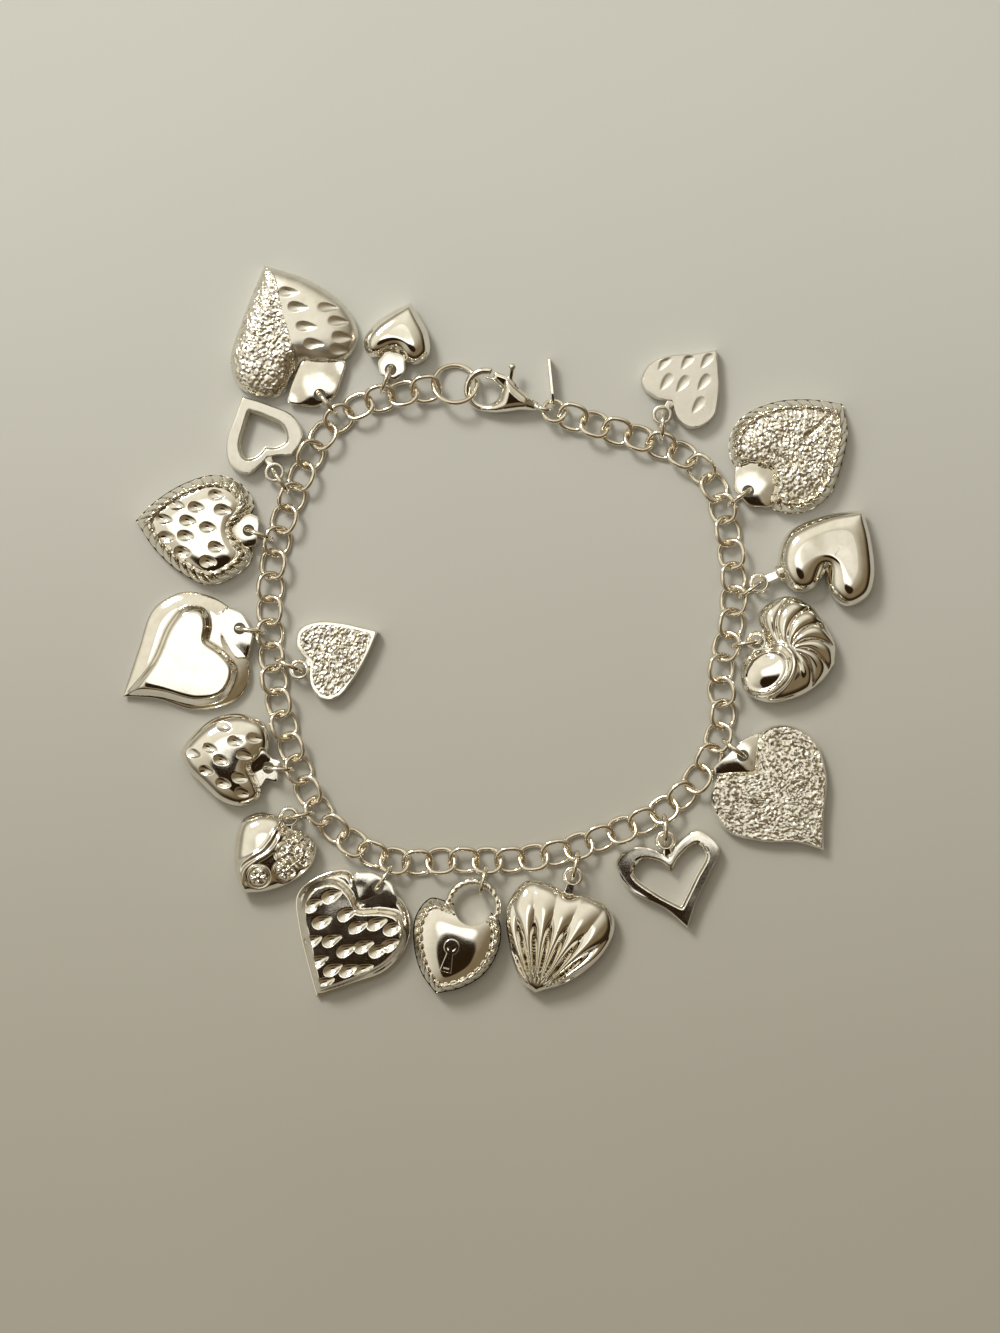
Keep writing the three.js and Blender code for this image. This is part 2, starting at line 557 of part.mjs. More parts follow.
function groove(from, to, charm) {
  const [a, b] = [vec(from), vec(to)];
  const mid = a.clone().add(b).multiplyScalar(0.5);
  const turn = Math.atan2(b.y - a.y, b.x - a.x) / DEG;
  return pit([mid.x, mid.y], a.distanceTo(b) + 0.6, 0.6, 0.4, turn, charm);
}

function tabPlate(charm) {
  const { rim = TAB_RIM, to = charm.notch.map((v, i) => v + (i === 1 ? 1.4 : 0)), half = 1.2 } = charm.tab ?? {};
  const radius = TAB_HOLE + rim;
  const aim = Math.atan2(to[1], to[0]) / DEG;
  const side = new THREE.Vector2(-Math.sin(aim * DEG), Math.cos(aim * DEG)).multiplyScalar(half);
  const outline = [
    ...arcPoints([0, 0], radius, aim + 90, aim + 270, 5),
    [to[0] - side.x, to[1] - side.y],
    [to[0] + side.x, to[1] + side.y],
  ];
  return slab(outline, TAB_THICKNESS, 0).translate(0, 0, TAB_LOW + TAB_THICKNESS / 2);
}

function shackle({ centre, radius, wire, level }) {
  const geometry = hoop({ x: radius, y: radius, wire, around: 16, sides: 6 });
  return geometry.translate(centre[0], centre[1], level);
}

function keyhole({ at, radius, slot, turn, height }, charm) {
  const top = surfaceLevel([at[0], at[1] + slot / 2], charm);
  const outline = (grow) => [
    ...arcPoints([0, 0], radius + grow, 130, -310 + 720 - 360, 8).slice(0, -1),
    [radius * 0.4 + grow, slot + grow],
    [-radius * 0.4 - grow, slot + grow],
  ];
  const plate = slab(outline(0.35), 2, 0).translate(0, 0, top + height - 1);
  const hollow = slab(outline(0), 2, 0).translate(0, 0, top + height);
  return [plate, hollow].map((piece) => solidOf(piece.rotateZ(turn * DEG).translate(at[0], at[1], 0)));
}

function charmSolid(charm) {
  let solid = solidOf(heartBody(charm));
  if (charm.frame) {
    const middle = middleOf(charm);
    const opening = heartOutline(charm).map((p) => middle.clone().lerp(p, charm.frame));
    solid = solid.subtract(solidOf(slab(opening.map((p) => [p.x, p.y]), 12, 0)));
  }
  if (charm.keyhole) {
    const [plate, hollow] = keyhole(charm.keyhole, charm);
    solid = solid.add(plate).subtract(hollow);
  }
  const pits = (charm.dimples ?? []).map((at) => {
    const { length, width, depth, turn } = charm.dimple;
    return pit(at, length, width, depth, turn, charm);
  });
  (charm.grooves ?? []).forEach(([from, to]) => pits.push(groove(from, to, charm)));
  pits.forEach((piece) => {
    solid = solid.subtract(solidOf(piece));
  });
  if (charm.shackle) {
    const { centre, bore } = charm.shackle;
    const hole = rod(bore, -1, 9, 16).translate(centre[0], centre[1], 0);
    return solid.subtract(solidOf(hole)).add(solidOf(shackle(charm.shackle)));
  }
  const room = JUMP_RING_WIRE / 2 + RING_ROOM;
  const passage = box([-room, room], [-HOLE_REACH, 0.9], [-1, 9]).rotateZ(-charm.turn * DEG);
  solid = solid.subtract(solidOf(passage)).add(solidOf(tabPlate(charm)));
  return solid.subtract(solidOf(rod(TAB_HOLE, -1, 9, 10)));
}

// A charm hangs from the link nearest to its station whose side toward it is the raised one.
function placesOf(charm) {
  const wanted = charm.inside ? 1 : 0;
  const at = (charm.station * links.length - 0.5 - wanted) / 2;
  const place = Math.min(links.length - 1, Math.max(0, 2 * Math.round(at) + wanted));
  const link = links[place];
  const out = link.out.clone().multiplyScalar(charm.inside ? -1 : 1);
  return { link, toward: out.applyAxisAngle(UP, charm.swing * DEG) };
}

function jumpRing(charm) {
  const { link, toward } = placesOf(charm);
  const geometry = hoop({
    x: JUMP_RING_RADIUS, y: JUMP_RING_RADIUS, wire: JUMP_RING_WIRE, around: 10, sides: 5, start: 12, phase: 36,
  });
  const lift = (link.centre.z - restLevel) / 2;
  const matrix = new THREE.Matrix4().makeBasis(toward, UP, toward.clone().cross(UP));
  const centre = link.centre.clone().addScaledVector(toward, JUMP_RING_REACH);
  centre.z = JUMP_RING_RADIUS + JUMP_RING_WIRE / 2 + lift;
  return geometry.applyMatrix4(matrix.setPosition(centre));
}

function placeCharm(charm) {
  const { link, toward } = placesOf(charm);
  const hole = link.centre.clone().addScaledVector(toward, HOLE_REACH).setZ(0);
  const heading = Math.atan2(toward.y, toward.x) / DEG + charm.turn - 90;
  return geometryOf(charmSolid(charm)).rotateZ(heading * DEG).translate(hole.x, hole.y, 0);
}

// Assembly

const bracelet = new THREE.Group();
bracelet.name = 'charm_bracelet';

function addPiece(name, geometry, color, roughness) {
  const piece = new THREE.Mesh(geometry, new THREE.MeshStandardMaterial({ color, roughness, metalness: 1 }));
  piece.name = name;
  bracelet.add(piece);
}

addPiece('chain', chain(), 0xd8d6cf, 0.22);
addPiece('end_ring', endRing(), 0xd8d6cf, 0.2);
addPiece('tail_ring', tailRing(), 0xd8d6cf, 0.2);
addPiece('clasp_body', claspBody(), 0xd9d7d0, 0.18);
addPiece('clasp_lever', claspLever(), 0xd9d7d0, 0.2);
addPiece('tag', tag(), 0xd6d4cd, 0.25);
Object.entries(CHARMS).forEach(([name, charm]) => {
  const matt = charm.sections === FLAT && !charm.frame;
  addPiece(`ring_${name}`, jumpRing(charm), 0xd8d6cf, 0.2);
  addPiece(`charm_${name}`, placeCharm(charm), matt ? 0xdbd9d3 : 0xd7d5ce, matt ? 0.5 : 0.2);
});

const bounds = new THREE.Box3().setFromObject(bracelet);
const shift = bounds.getCenter(new THREE.Vector3()).setZ(bounds.min.z).negate();
bracelet.children.forEach((piece) => piece.geometry.translate(shift.x, shift.y, shift.z));

export default bracelet;
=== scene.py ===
import math

import bpy
import numpy as np
from mathutils import Matrix, Vector


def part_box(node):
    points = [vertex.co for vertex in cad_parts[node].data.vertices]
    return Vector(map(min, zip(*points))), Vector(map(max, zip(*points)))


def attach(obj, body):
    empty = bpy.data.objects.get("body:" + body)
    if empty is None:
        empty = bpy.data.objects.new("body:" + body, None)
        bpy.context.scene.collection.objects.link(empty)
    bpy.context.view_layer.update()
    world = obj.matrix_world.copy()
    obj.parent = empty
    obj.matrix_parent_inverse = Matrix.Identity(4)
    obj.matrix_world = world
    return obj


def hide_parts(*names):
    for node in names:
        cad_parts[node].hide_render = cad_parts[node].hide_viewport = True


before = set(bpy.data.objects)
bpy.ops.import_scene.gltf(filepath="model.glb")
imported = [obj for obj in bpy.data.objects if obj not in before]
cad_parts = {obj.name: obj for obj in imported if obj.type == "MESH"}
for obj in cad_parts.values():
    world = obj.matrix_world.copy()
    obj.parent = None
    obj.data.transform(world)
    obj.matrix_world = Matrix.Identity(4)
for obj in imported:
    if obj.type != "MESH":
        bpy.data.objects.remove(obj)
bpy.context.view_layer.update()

MM = 0.001

# Sizes are in millimetres and degrees, as in the solids. A photo place is a pixel of 1000 x 1333.

# Chain
CHAIN_ROUTE = [
    (13.3, 27.1), (19.3, 25.3), (25.0, 23.0), (28.7, 18.7), (30.2, 13.4), (31.1, 6.1),
    (30.6, 0.1), (29.1, -5.9), (29.8, -10.9), (28.3, -15.9), (25.3, -20.9), (20.6, -24.6),
    (14.6, -27.1), (7.9, -29.5), (0.7, -30.6), (-6.7, -30.5), (-13.4, -30.9), (-19.4, -28.5),
    (-23.8, -24.6), (-26.5, -19.3), (-28.9, -12.2), (-30.2, -5.9), (-30.7, 0.7), (-30.5, 6.7),
    (-29.5, 12.7), (-26.7, 20.1), (-23.8, 25.8), (-19.4, 29.7), (-13.4, 31.4),
]
LINK_WIRE = 0.65
LINK_WIDTH = 4.1
LINK_PITCH = 3.1
LINK_ROLL = 26
LINK_BITE = 0.05
LINK_FULLNESS = 0.8
END_LIFT = 0.6
END_LIFT_LINKS = 4

# Rings
RING_GAP = 0.15
TAIL_RING_AT = (7.13, 29.13)
TAIL_RING_RADIUS = 1.5
TAIL_RING_WIRE = 0.6
TAIL_RING_TILT = 20
END_RING_RADIUS = 2.9
END_RING_WIRE = 0.66
END_RING_TILT = 26
END_RING_AXIS = -6
END_RING_RISE = 0.02
JUMP_RING_RADIUS = 1.8
JUMP_RING_WIRE = 0.6
JUMP_RING_REACH = 2.55
RING_SEAM = 1.2

# Clasp
CLASP_HEADING = -15.2
CLASP_LEVEL = 1.6
CLASP_ROLL = 12
EYE_RADIUS = 0.9
EYE_WIRE = 0.64
HOOK_CENTRE = (-8.0, 0.4)
HOOK_BORE = 2.0
HOOK_WIDTH = 0.85
HOOK_FULLNESS = 0.12
HOOK_TIP_ANGLE = 85
CLASP_THICKNESS = 2.6
HOOK_THINNING = 0.34
THINNING_FROM = 5.0
RING_FROM_HOOK = 4.15
SLOT_X = (-6.6, -3.85)
SLOT_Y = (0.3, 3.6)
SLOT_HEIGHT = 1.2
BODY_HALF = 1.4
BODY_TAPER = 2.6
PIVOT = (-5.0, 1.5)
PIN_RADIUS = 0.4
PIN_CLEARANCE = 0.15
LEVER_THICKNESS = 0.9
LEVER_HUB = 0.95
KNOB_AT = (-5.4, 4.2)
KNOB_RADIUS = 0.5

# Tag
TAG_HEADING = 96
TAG_LENGTH = 6.6
TAG_HEIGHT = 2.2
TAG_THICKNESS = 0.4
TAG_HOLE = 0.5
TAG_RIM = 0.35

# Tabs and bails that carry the charms
TAB_LOW = 1.0
TAB_TOP = 1.6
TAB_HOLE = 0.8
TAB_SIDES = 96
BAIL_WIRE = 0.6
HOLE_REACH = 4.05
SLOT_HALF = 0.8
MIDDLE_SHARE = 0.38
HIGHEST = 4.15
OUTLINE_SHARE = 0.994
CORNER_SHARE = 0.45
WAVE_HEIGHT = 0.015
WAVE_LENGTH = 2.6
COARSE_GRAIN = 0.36
FINE_GRAIN = 0.21
TAB_CROWN = 0.27
TAB_RECESS = 0.35
CHARM_SHARP = 38
THROUGH = (-2, 9)
# How much of the tab's outline each ring of its face spans, and how far it drops at the edge
TAB_PROFILE = [
    (1.0, 0.16), (0.985, 0.06), (0.955, 0.01), (0.9, 0), (0.78, 0),
    (0.64, 0), (0.5, 0), (0.36, 0), (0.22, 0), (0.1, 0),
]

# Points round a charm's front, and its rings
FINE_MESH = (320, 74)
RELIEF_MESH = (256, 60)
PLAIN_MESH = (208, 48)
BACK_RINGS = 14

# Silver: its colours, and the sizes of its clouds, scratches and grains
LIGHT_SILVER = (0.93, 0.905, 0.83)
# Painted shade: the chain and rings' silver is darker than the charms' silver, standing in for the shade
# between close links
SHADED_WIRE_SILVER = (0.88, 0.82, 0.70)
SATIN_SILVER = (0.84, 0.82, 0.75)
GLITTER_SILVER = (0.90, 0.87, 0.79)
# Tarnish and painted shade: the dark colour laid where pointiness is low stands for patina and for the shade
# that falls in hollows and grooves
TARNISH_AND_HOLLOW_SHADE = (0.16, 0.11, 0.06)
GLITTER_TARNISH_AND_HOLLOW_SHADE = (0.2, 0.16, 0.1)
WHITE = (1, 1, 1)
CLOUD_TONE = (0.9, 0.88, 0.84)
CLOUD_SCALE = 700
SCRATCH_SCALE = 5200
SCRATCH_DEPTH = 0.02
GRAIN_SCALES = (2900, 5000)

# Sections of a charm: the level of its rim, its height, how its front rises and how far its back is flat
FLAT = {"rim": 1.35, "top": 1.95, "rise": "bevel", "edge": 0.07, "back": 0.03}
FRAME = {"rim": 1.3, "top": 1.95, "rise": "bevel", "edge": 0.075, "back": 0.03}
DOMED = {"rim": 0.8, "top": 3.05, "rise": "dome", "edge": 0.8, "back": 0.08}
PUFFED = {"rim": 1.45, "top": 3.9, "rise": "dome", "edge": 1.0, "back": 0.42}
BANDED = {"rim": 0.9, "top": 1.6, "rise": "dome", "edge": 0.42, "back": 0.03}
STEPPED = {"rim": 0.95, "top": 1.6, "rise": "bevel", "edge": 0.2, "back": 0.03}

# Charms, each in its own frame: the hole of its tab at the origin and the point along +y.
CHARMS = {
    "hammered": {
        "station": 0.074, "swing": 17, "turn": -39, "section": FLAT,
        "notch": (-0.2, 2.1), "tip": (-0.1, 11.3),
        "right": [(2.0, 0.8), (4.4, 1.3), (5.4, 4.1), (3.9, 7.1), (1.7, 9.5)],
        "left": [(-2.0, 1.1), (-4.7, 1.2), (-5.7, 3.6), (-4.5, 6.4), (-1.8, 9.2)],
        "dimples": [(-4.3, 5.4), (-2.1, 7.5), (-0.2, 9.3), (-2.4, 3.6), (-0.6, 4.8), (1.4, 6.8), (2.8, 4.0)],
        "dimple": {"length": 2.7, "width": 1.2, "depth": 0.1, "turn": 95, "point": 0.5},
        "look": "satin", "bail": 1.15,
    },
    "rope_glitter": {
        "station": 0.139, "swing": 20, "turn": 10, "section": DOMED,
        "notch": (0.1, 3.3), "tip": (0.6, 17.2),
        "right": [(3.6, 0.6), (7.0, 2.9), (8.1, 7.1), (6.1, 11.8), (3.6, 15.2)],
        "left": [(-3.4, 1.1), (-6.3, 2.6), (-7.6, 6.0), (-6.1, 10.7), (-2.8, 14.6)],
        "rope": {"width": 1.4, "strands": 32, "height": 0.8}, "look": "glitter", "grain": 0.11, "plain": 1.35,
        "creases": [[(0.4, 10.2), (0.6, 14.2)], [(-1.6, 5.6), (1.6, 6.6)]],
        "pad": [(-3.5, 1.0), (-2.4, 3.3), (0.3, 4.5), (2.5, 2.9), (3.7, 0.6), (1.5, -1.3), (-1.4, -1.3)],
    },
    "floating": {
        "station": 0.205, "swing": 38, "turn": 21, "section": PUFFED,
        "notch": (6.1, 6.6), "tip": (5.9, 15.8),
        "right": [(8.1, 4.3), (11.4, 3.9), (13.0, 6.5), (12.3, 9.2), (8.9, 13.3)],
        "left": [(6.4, 3.4), (4.5, 1.7), (0.9, 3.1), (-0.7, 7.3), (2.2, 12.4)],
        "look": "polished", "bail": 1.25, "collar": {"at": (1.5, 2.6), "radius": 1.35},
        "crest": 1.8, "edge": 0.76, "lean": -0.05,
    },
    "swirl": {
        "station": 0.238, "swing": 25, "turn": -28, "section": PUFFED,
        "notch": (0.2, 1.6), "tip": (-0.6, 10.8),
        "right": [(2.3, -0.8), (6.5, 0.3), (7.3, 3.7), (5.4, 7.4), (2.3, 9.9)],
        "left": [(-3.7, -1.0), (-7.0, 1.6), (-6.9, 5.3), (-4.9, 8.2), (-3.0, 10.0)],
        "swirl": {"hub": (-0.4, 4.5), "flutes": 11, "lean": 8.5, "depth": 0.6, "from": 40, "to": 268},
        "oval": {"at": (3.4, 2.3), "along": -28, "length": 5.0, "width": 3.7, "height": 0.4},
        "look": "polished", "bail": 1.2,
    },
    "glitter": {
        "station": 0.303, "swing": -17, "turn": -12, "section": FLAT,
        "notch": (0.1, 2.2), "tip": (0.1, 16.6),
        "right": [(4.2, -0.2), (7.2, 1.8), (8.2, 6.1), (5.7, 10.2), (2.0, 13.7)],
        "left": [(-3.8, -0.8), (-7.1, 0.8), (-8.6, 4.5), (-6.7, 9.3), (-2.5, 13.6)],
        "look": "glitter", "grain": 0.06,
        "pad": [(-1.4, -1.6), (-3.9, -0.8), (-0.6, 2.0), (0.1, 2.9), (4.5, -0.5), (4.0, -1.4), (1.2, -1.4)],
    },
    "open": {
        "station": 0.369, "swing": -30, "turn": 12, "section": FRAME,
        "notch": (0.2, 2.3), "tip": (0.2, 12.1),
        "right": [(1.9, 0.5), (4.3, -0.4), (7.2, 1.1), (6.5, 4.9), (2.4, 8.9)],
        "left": [(-1.3, 0.8), (-4.6, -0.3), (-6.7, 2.8), (-4.7, 5.7), (-1.7, 9.2)],
        "frame": {"notch": (0.3, 4.2), "tip": (0.25, 9.0),
                  "right": [(1.5, 2.6), (3.9, 1.7), (5.2, 3.2), (3.0, 6.4)],
                  "left": [(-1.3, 2.6), (-3.9, 1.6), (-4.7, 3.2), (-2.6, 5.7)]},
        "look": "polished", "bail": 1.2,
    },
    "fluted": {
        "station": 0.434, "swing": -30, "turn": -9, "section": PUFFED,
        "notch": (-0.2, 2.3), "tip": (-0.5, 16.3),
        "right": [(2.8, 1.9), (5.8, 2.7), (7.0, 6.7), (4.9, 11.6), (1.8, 15.5)],
        "left": [(-2.8, 1.6), (-5.9, 2.3), (-7.6, 4.6), (-7.1, 8.9), (-4.2, 13.4)],
        "flutes": {"hub": (-0.4, 16.6), "step": 13.0, "centre": -90, "depth": 1.25},
        "look": "polished", "bail": 1.3,
    },
    "padlock": {
        "station": 0.5, "swing": -11, "turn": -6, "section": PUFFED,
        "notch": (1.6, 2.8), "tip": (1.4, 14.9),
        "right": [(4.3, 2.7), (6.1, 3.0), (7.2, 5.8), (6.4, 9.3), (4.1, 12.9)],
        "left": [(-1.4, 2.2), (-3.6, 3.0), (-4.7, 6.2), (-4.0, 10.2), (-1.6, 13.1)],
        "shackle": {"centre": (0.3, 2.3), "bore": 2.5, "radius": 3.3,
                    "wire": 1.0, "level": 1.45, "strands": 22},
        "keyhole": {"at": (1.4, 8.1), "radius": 0.62, "slot": 3.0, "foot": 0.8, "turn": 4, "rim": 0.42},
        "rope": {"width": 1.1, "strands": 28, "height": 0.6}, "look": "polished",
    },
    "teardrop": {
        "station": 0.566, "swing": -21, "turn": 6, "section": STEPPED,
        "notch": (1.2, 2.7), "tip": (0.6, 16.8),
        "right": [(4.3, -0.1), (7.5, 2.1), (9.1, 5.8), (7.0, 9.5), (3.8, 13.3)],
        "left": [(-1.9, -0.1), (-5.0, 1.0), (-7.0, 5.0), (-6.3, 9.4), (-2.8, 13.3)],
        "raised": {"notch": (0.8, 3.8), "tip": (0.7, 16.3), "height": 1.3, "edge": 0.7, "dome": 0.0,
                   "right": [(2.9, 2.1), (5.6, 1.7), (8.0, 4.0), (7.9, 7.0), (4.6, 11.5)],
                   "left": [(-1.9, 2.3), (-4.3, 1.9), (-6.4, 4.6), (-5.9, 8.4), (-2.6, 12.9)]},
        "dimples": [
            (6.6, 5.9), (4.9, 3.7), (2.0, 4.9), (4.5, 7.3), (-0.1, 5.7), (-2.1, 4.2), (-4.3, 3.8),
            (4.5, 10.2), (2.2, 8.9), (-0.1, 9.2), (-1.9, 7.7), (-3.9, 7.3), (-5.0, 5.9), (2.5, 12.2),
            (0.3, 12.3), (-1.6, 11.4), (-3.3, 10.5), (0.5, 14.4),
        ],
        "dimple": {"length": 2.7, "width": 1.35, "depth": 0.34, "turn": 50, "point": 0.5},
        "look": "polished", "flush": True,
        "pad": [(-3.4, 0.6), (-1.6, -1.3), (1.6, -1.4), (3.6, -0.3), (3.0, 3.0), (-2.0, 3.0)],
    },
    "flower": {
        "station": 0.631, "swing": -23, "turn": 42, "section": PUFFED,
        "notch": (-0.9, 1.3), "tip": (-1.0, 11.8),
        "right": [(0.9, 0.5), (3.4, 1.6), (4.8, 4.1), (3.6, 7.3), (1.4, 10.1)],
        "left": [(-2.6, 0.3), (-5.2, 0.9), (-6.3, 3.5), (-5.4, 6.9), (-3.2, 10.1)],
        "lines": [[(-0.5, 2.2), (-0.9, 4.0), (-0.6, 5.6), (0.1, 7.3), (0.5, 9.0), (-0.3, 10.8)],
                  [(0.3, 2.2), (0.1, 4.0), (0.2, 5.5), (0.9, 7.1), (1.3, 8.6), (0.5, 10.4)]],
        "line": {"width": 0.5, "height": 0.3},
        "flowers": [(-2.7, 3.7), (-4.6, 2.9), (-3.9, 5.9), (-3.0, 1.7), (-1.5, 8.6)], "flower": 1.25,
        "look": "polished", "bail": 1.2,
    },
    "strawberry": {
        "station": 0.664, "swing": -24, "turn": -8, "section": PUFFED,
        "notch": (-0.4, 1.8), "tip": (-0.2, 11.9),
        "right": [(2.8, 0.3), (5.7, 1.5), (6.5, 4.7), (5.1, 8.4), (1.9, 11.1)],
        "left": [(-3.9, 0.3), (-5.7, 2.5), (-5.5, 5.3), (-3.8, 8.2), (-1.9, 10.8)],
        "dimples": [
            (0.1, 9.9), (1.2, 7.9), (2.7, 4.8), (3.6, 2.4), (-0.1, 6.1), (1.2, 3.2), (-1.8, 7.8), (-1.9, 3.3),
            (-3.0, 5.3), (-3.8, 2.6), (4.3, 6.6),
        ],
        "dimple": {"length": 2.1, "width": 1.3, "depth": 0.34, "turn": 85, "point": 0.25},
        "look": "polished", "pad": [(-0.2, 2.7), (1.2, 1.6), (2.4, 1.3), (1.3, -0.4), (1.2, -1.6),
                                    (-0.2, -1.3), (-1.7, -1.6), (-1.6, 0), (-3.3, 0.6), (-1.7, 1.5)],
        "crown": (2.5, 3),
    },
    "small_glitter": {
        "station": 0.746, "swing": -30, "turn": 48, "inside": True, "section": FLAT, "notch": (-0.3, 1.6),
        "tip": (-0.6, 11.7), "right": [(2.2, 0.6), (4.3, 0.9), (5.5, 2.7), (4.2, 6.1), (1.7, 9.4)],
        "left": [(-3.0, 0.9), (-4.9, 2.1), (-5.0, 4.6), (-3.5, 7.7), (-1.8, 10.1)],
        "look": "glitter", "grain": 0.09, "plain": 0.6, "bail": 1.15,
    },
    "curled": {
        "station": 0.762, "swing": -12, "turn": 40, "crest": 1.35, "section": BANDED,
        "notch": (-0.8, 1.7), "tip": (0.1, 18.1),
        "right": [(1.8, -0.3), (4.6, 0.4), (8.0, 3.9), (8.2, 8.5), (4.5, 13.1)],
        "left": [(-4.2, 1.2), (-7.0, 2.9), (-8.0, 6.5), (-6.2, 10.8), (-2.5, 14.3)],
        "raised": {"notch": (0.8, 4.3), "tip": (0.1, 17.7), "height": 1.25, "edge": 1.0, "dome": 0.05,
                   "right": [(2.2, 3.0), (4.6, 2.5), (6.3, 4.8), (5.4, 7.9), (2.3, 12.2)],
                   "left": [(-1.5, 3.2), (-4.4, 2.9), (-7.0, 6.0), (-6.1, 9.9), (-2.4, 13.9)]},
        "look": "polished", "flush": True,
        "pad": [(-4.0, 1.0), (-1.6, -1.3), (1.6, -1.4), (3.2, -0.2), (3.0, 2.5), (-3.0, 2.5)],
    },
    "rope_dimpled": {
        "station": 0.828, "swing": -7, "turn": 15, "section": DOMED,
        "notch": (-0.1, 1.5), "tip": (-0.2, 15.2),
        "right": [(3.2, -0.4), (6.0, 1.4), (7.0, 5.0), (5.5, 9.1), (2.6, 12.9)],
        "left": [(-3.1, -0.9), (-5.6, 0.5), (-7.8, 4.4), (-6.4, 8.7), (-3.6, 12.4)],
        "rope": {"width": 1.55, "strands": 32, "height": 0.85},
        "dimples": [
            (4.2, 4.6), (2.3, 9.7), (2.3, 7.1), (2.3, 3.6), (0.3, 11.2), (-0.2, 5.3), (-1.6, 8.1),
            (-2.7, 3.9), (-3.8, 8.3), (-4.7, 4.8), (0.4, 8.0), (-2.0, 10.6),
        ],
        "dimple": {"length": 2.3, "width": 1.45, "depth": 0.36, "turn": 88, "point": 0.25},
        "look": "polished", "pad": [(-1.9, -1.3), (-2.4, 0.4), (0.0, 2.6), (2.4, 0.4), (1.9, -1.3)],
    },
    "open_satin": {
        "station": 0.861, "swing": -33, "turn": -12, "section": FRAME,
        "notch": (-0.1, 2.1), "tip": (0.0, 11.0),
        "right": [(1.3, 1.8), (3.0, 1.2), (5.3, 2.8), (5.3, 5.8), (2.8, 8.6)],
        "left": [(-1.3, 1.6), (-3.5, 1.1), (-5.1, 3.1), (-4.4, 6.0), (-1.7, 9.1)],
        "frame": {"notch": (0.2, 3.6), "tip": (0.1, 8.7),
                  "right": [(1.5, 3.0), (3.0, 3.2), (3.4, 5.0), (1.8, 7.1)],
                  "left": [(-1.3, 2.9), (-2.8, 3.2), (-2.8, 4.9), (-1.4, 6.9)]},
        "look": "satin", "bail": 1.15,
    },
    "half_glitter": {
        "station": 0.926, "swing": -1, "turn": -18, "section": DOMED,
        "notch": (-0.7, 5.0), "tip": (-0.6, 18.8),
        "right": [(2.3, 3.2), (5.1, 3.1), (7.6, 5.3), (7.6, 9.5), (4.2, 14.8)],
        "left": [(-4.9, 1.8), (-7.4, 2.4), (-9.7, 5.0), (-9.5, 8.5), (-6.7, 12.3)],
        "dimples": [(1.2, 14.0), (1.6, 11.7), (5.3, 10.2), (1.7, 8.9), (5.9, 8.0), (1.8, 6.4), (5.6, 5.9),
                    (4.7, 4.5)],
        "dimple": {"length": 2.8, "width": 1.3, "depth": 0.32, "turn": -24, "point": -0.5},
        "split": [(-0.6, 18.9), (0.1, 16.6), (-0.5, 12.5), (-0.9, 8.5), (-1.3, 5.6),
                  (-3.0, 3.0), (-5.4, 1.2)],
        "look": "half", "grain": 0.11,
        "pad": [(-1.3, -1.3), (-4.6, 0.6), (-3.0, 2.7), (-0.4, 5.3), (1.8, 4.1), (5.2, 3.0), (1.9, -1.1)],
    },
    "small": {
        "station": 0.959, "swing": -33, "turn": 3, "section": PUFFED,
        "notch": (-0.1, 2.5), "tip": (0.0, 9.3),
        "right": [(1.4, 1.6), (3.1, 1.6), (4.4, 3.4), (3.5, 5.9), (1.6, 7.9)],
        "left": [(-1.6, 1.3), (-3.3, 0.9), (-4.5, 2.5), (-4.0, 4.9), (-2.0, 7.5)],
        "look": "polished", "crest": 1.7, "edge": 0.9, "lean": -0.05,
        "pad": [(-2.0, 0.5), (-1.2, -1.1), (1.0, -1.2), (2.0, 0.3), (1.3, 2.5), (-1.4, 2.4)],
    },
}


# Curves and places


def catmull_rom(points, count, centripetal):
    """Points along a Catmull-Rom curve, evenly in its parameter."""
    pts = np.array(points, float)
    ends = np.vstack([2 * pts[0] - pts[1], pts, 2 * pts[-1] - pts[-2]])
    param = np.linspace(0, len(pts) - 1, count + 1)
    piece = np.minimum(param.astype(int), len(pts) - 2)
    w = (param - piece)[:, None]
    p0, p1, p2, p3 = (ends[piece + k] for k in range(4))
    if centripetal:
        spans = ((p0, p1), (p1, p2), (p2, p3))
        d0, d1, d2 = (np.sqrt(np.linalg.norm(b - a, axis=1))[:, None] for a, b in spans)
        t0 = ((p1 - p0) / d0 - (p2 - p0) / (d0 + d1) + (p2 - p1) / d1) * d1
        t1 = ((p2 - p1) / d1 - (p3 - p1) / (d1 + d2) + (p3 - p2) / d2) * d1
    else:
        t0 = 0.5 * (p2 - p0)
        t1 = 0.5 * (p3 - p1)
    c2 = -3 * p1 + 3 * p2 - 2 * t0 - t1
    c3 = 2 * p1 - 2 * p2 + t0 + t1
    return p1 + t0 * w + c2 * w ** 2 + c3 * w ** 3


def even(points, count):
    """The same open line with its points evenly spaced."""
    lengths = np.r_[0, np.cumsum(np.linalg.norm(np.diff(points, axis=0), axis=1))]
    at = np.linspace(0, lengths[-1], count + 1)
    return np.stack([np.interp(at, lengths, points[:, k]) for k in range(points.shape[1])], axis=1)


def towards(start, goal, length):
    way = np.array(goal, float) - np.array(start, float)
    return np.array(start, float) + way / np.linalg.norm(way) * length


def spin(degrees, axis):
    return Matrix.Rotation(math.radians(degrees), 4, axis)


def at_level(points, level):
    return np.c_[points, np.full(len(points), level)]


def turned(x, y, degrees):
    a = math.radians(degrees)
    return x * math.cos(a) - y * math.sin(a), x * math.sin(a) + y * math.cos(a)


clasp_way = -np.array([math.cos(math.radians(CLASP_HEADING)), math.sin(math.radians(CLASP_HEADING))])
tail_centre = np.array(TAIL_RING_AT)
eye_centre = tail_centre + clasp_way * TAIL_RING_RADIUS
end_centre = eye_centre + clasp_way * (RING_FROM_HOOK - HOOK_CENTRE[0])


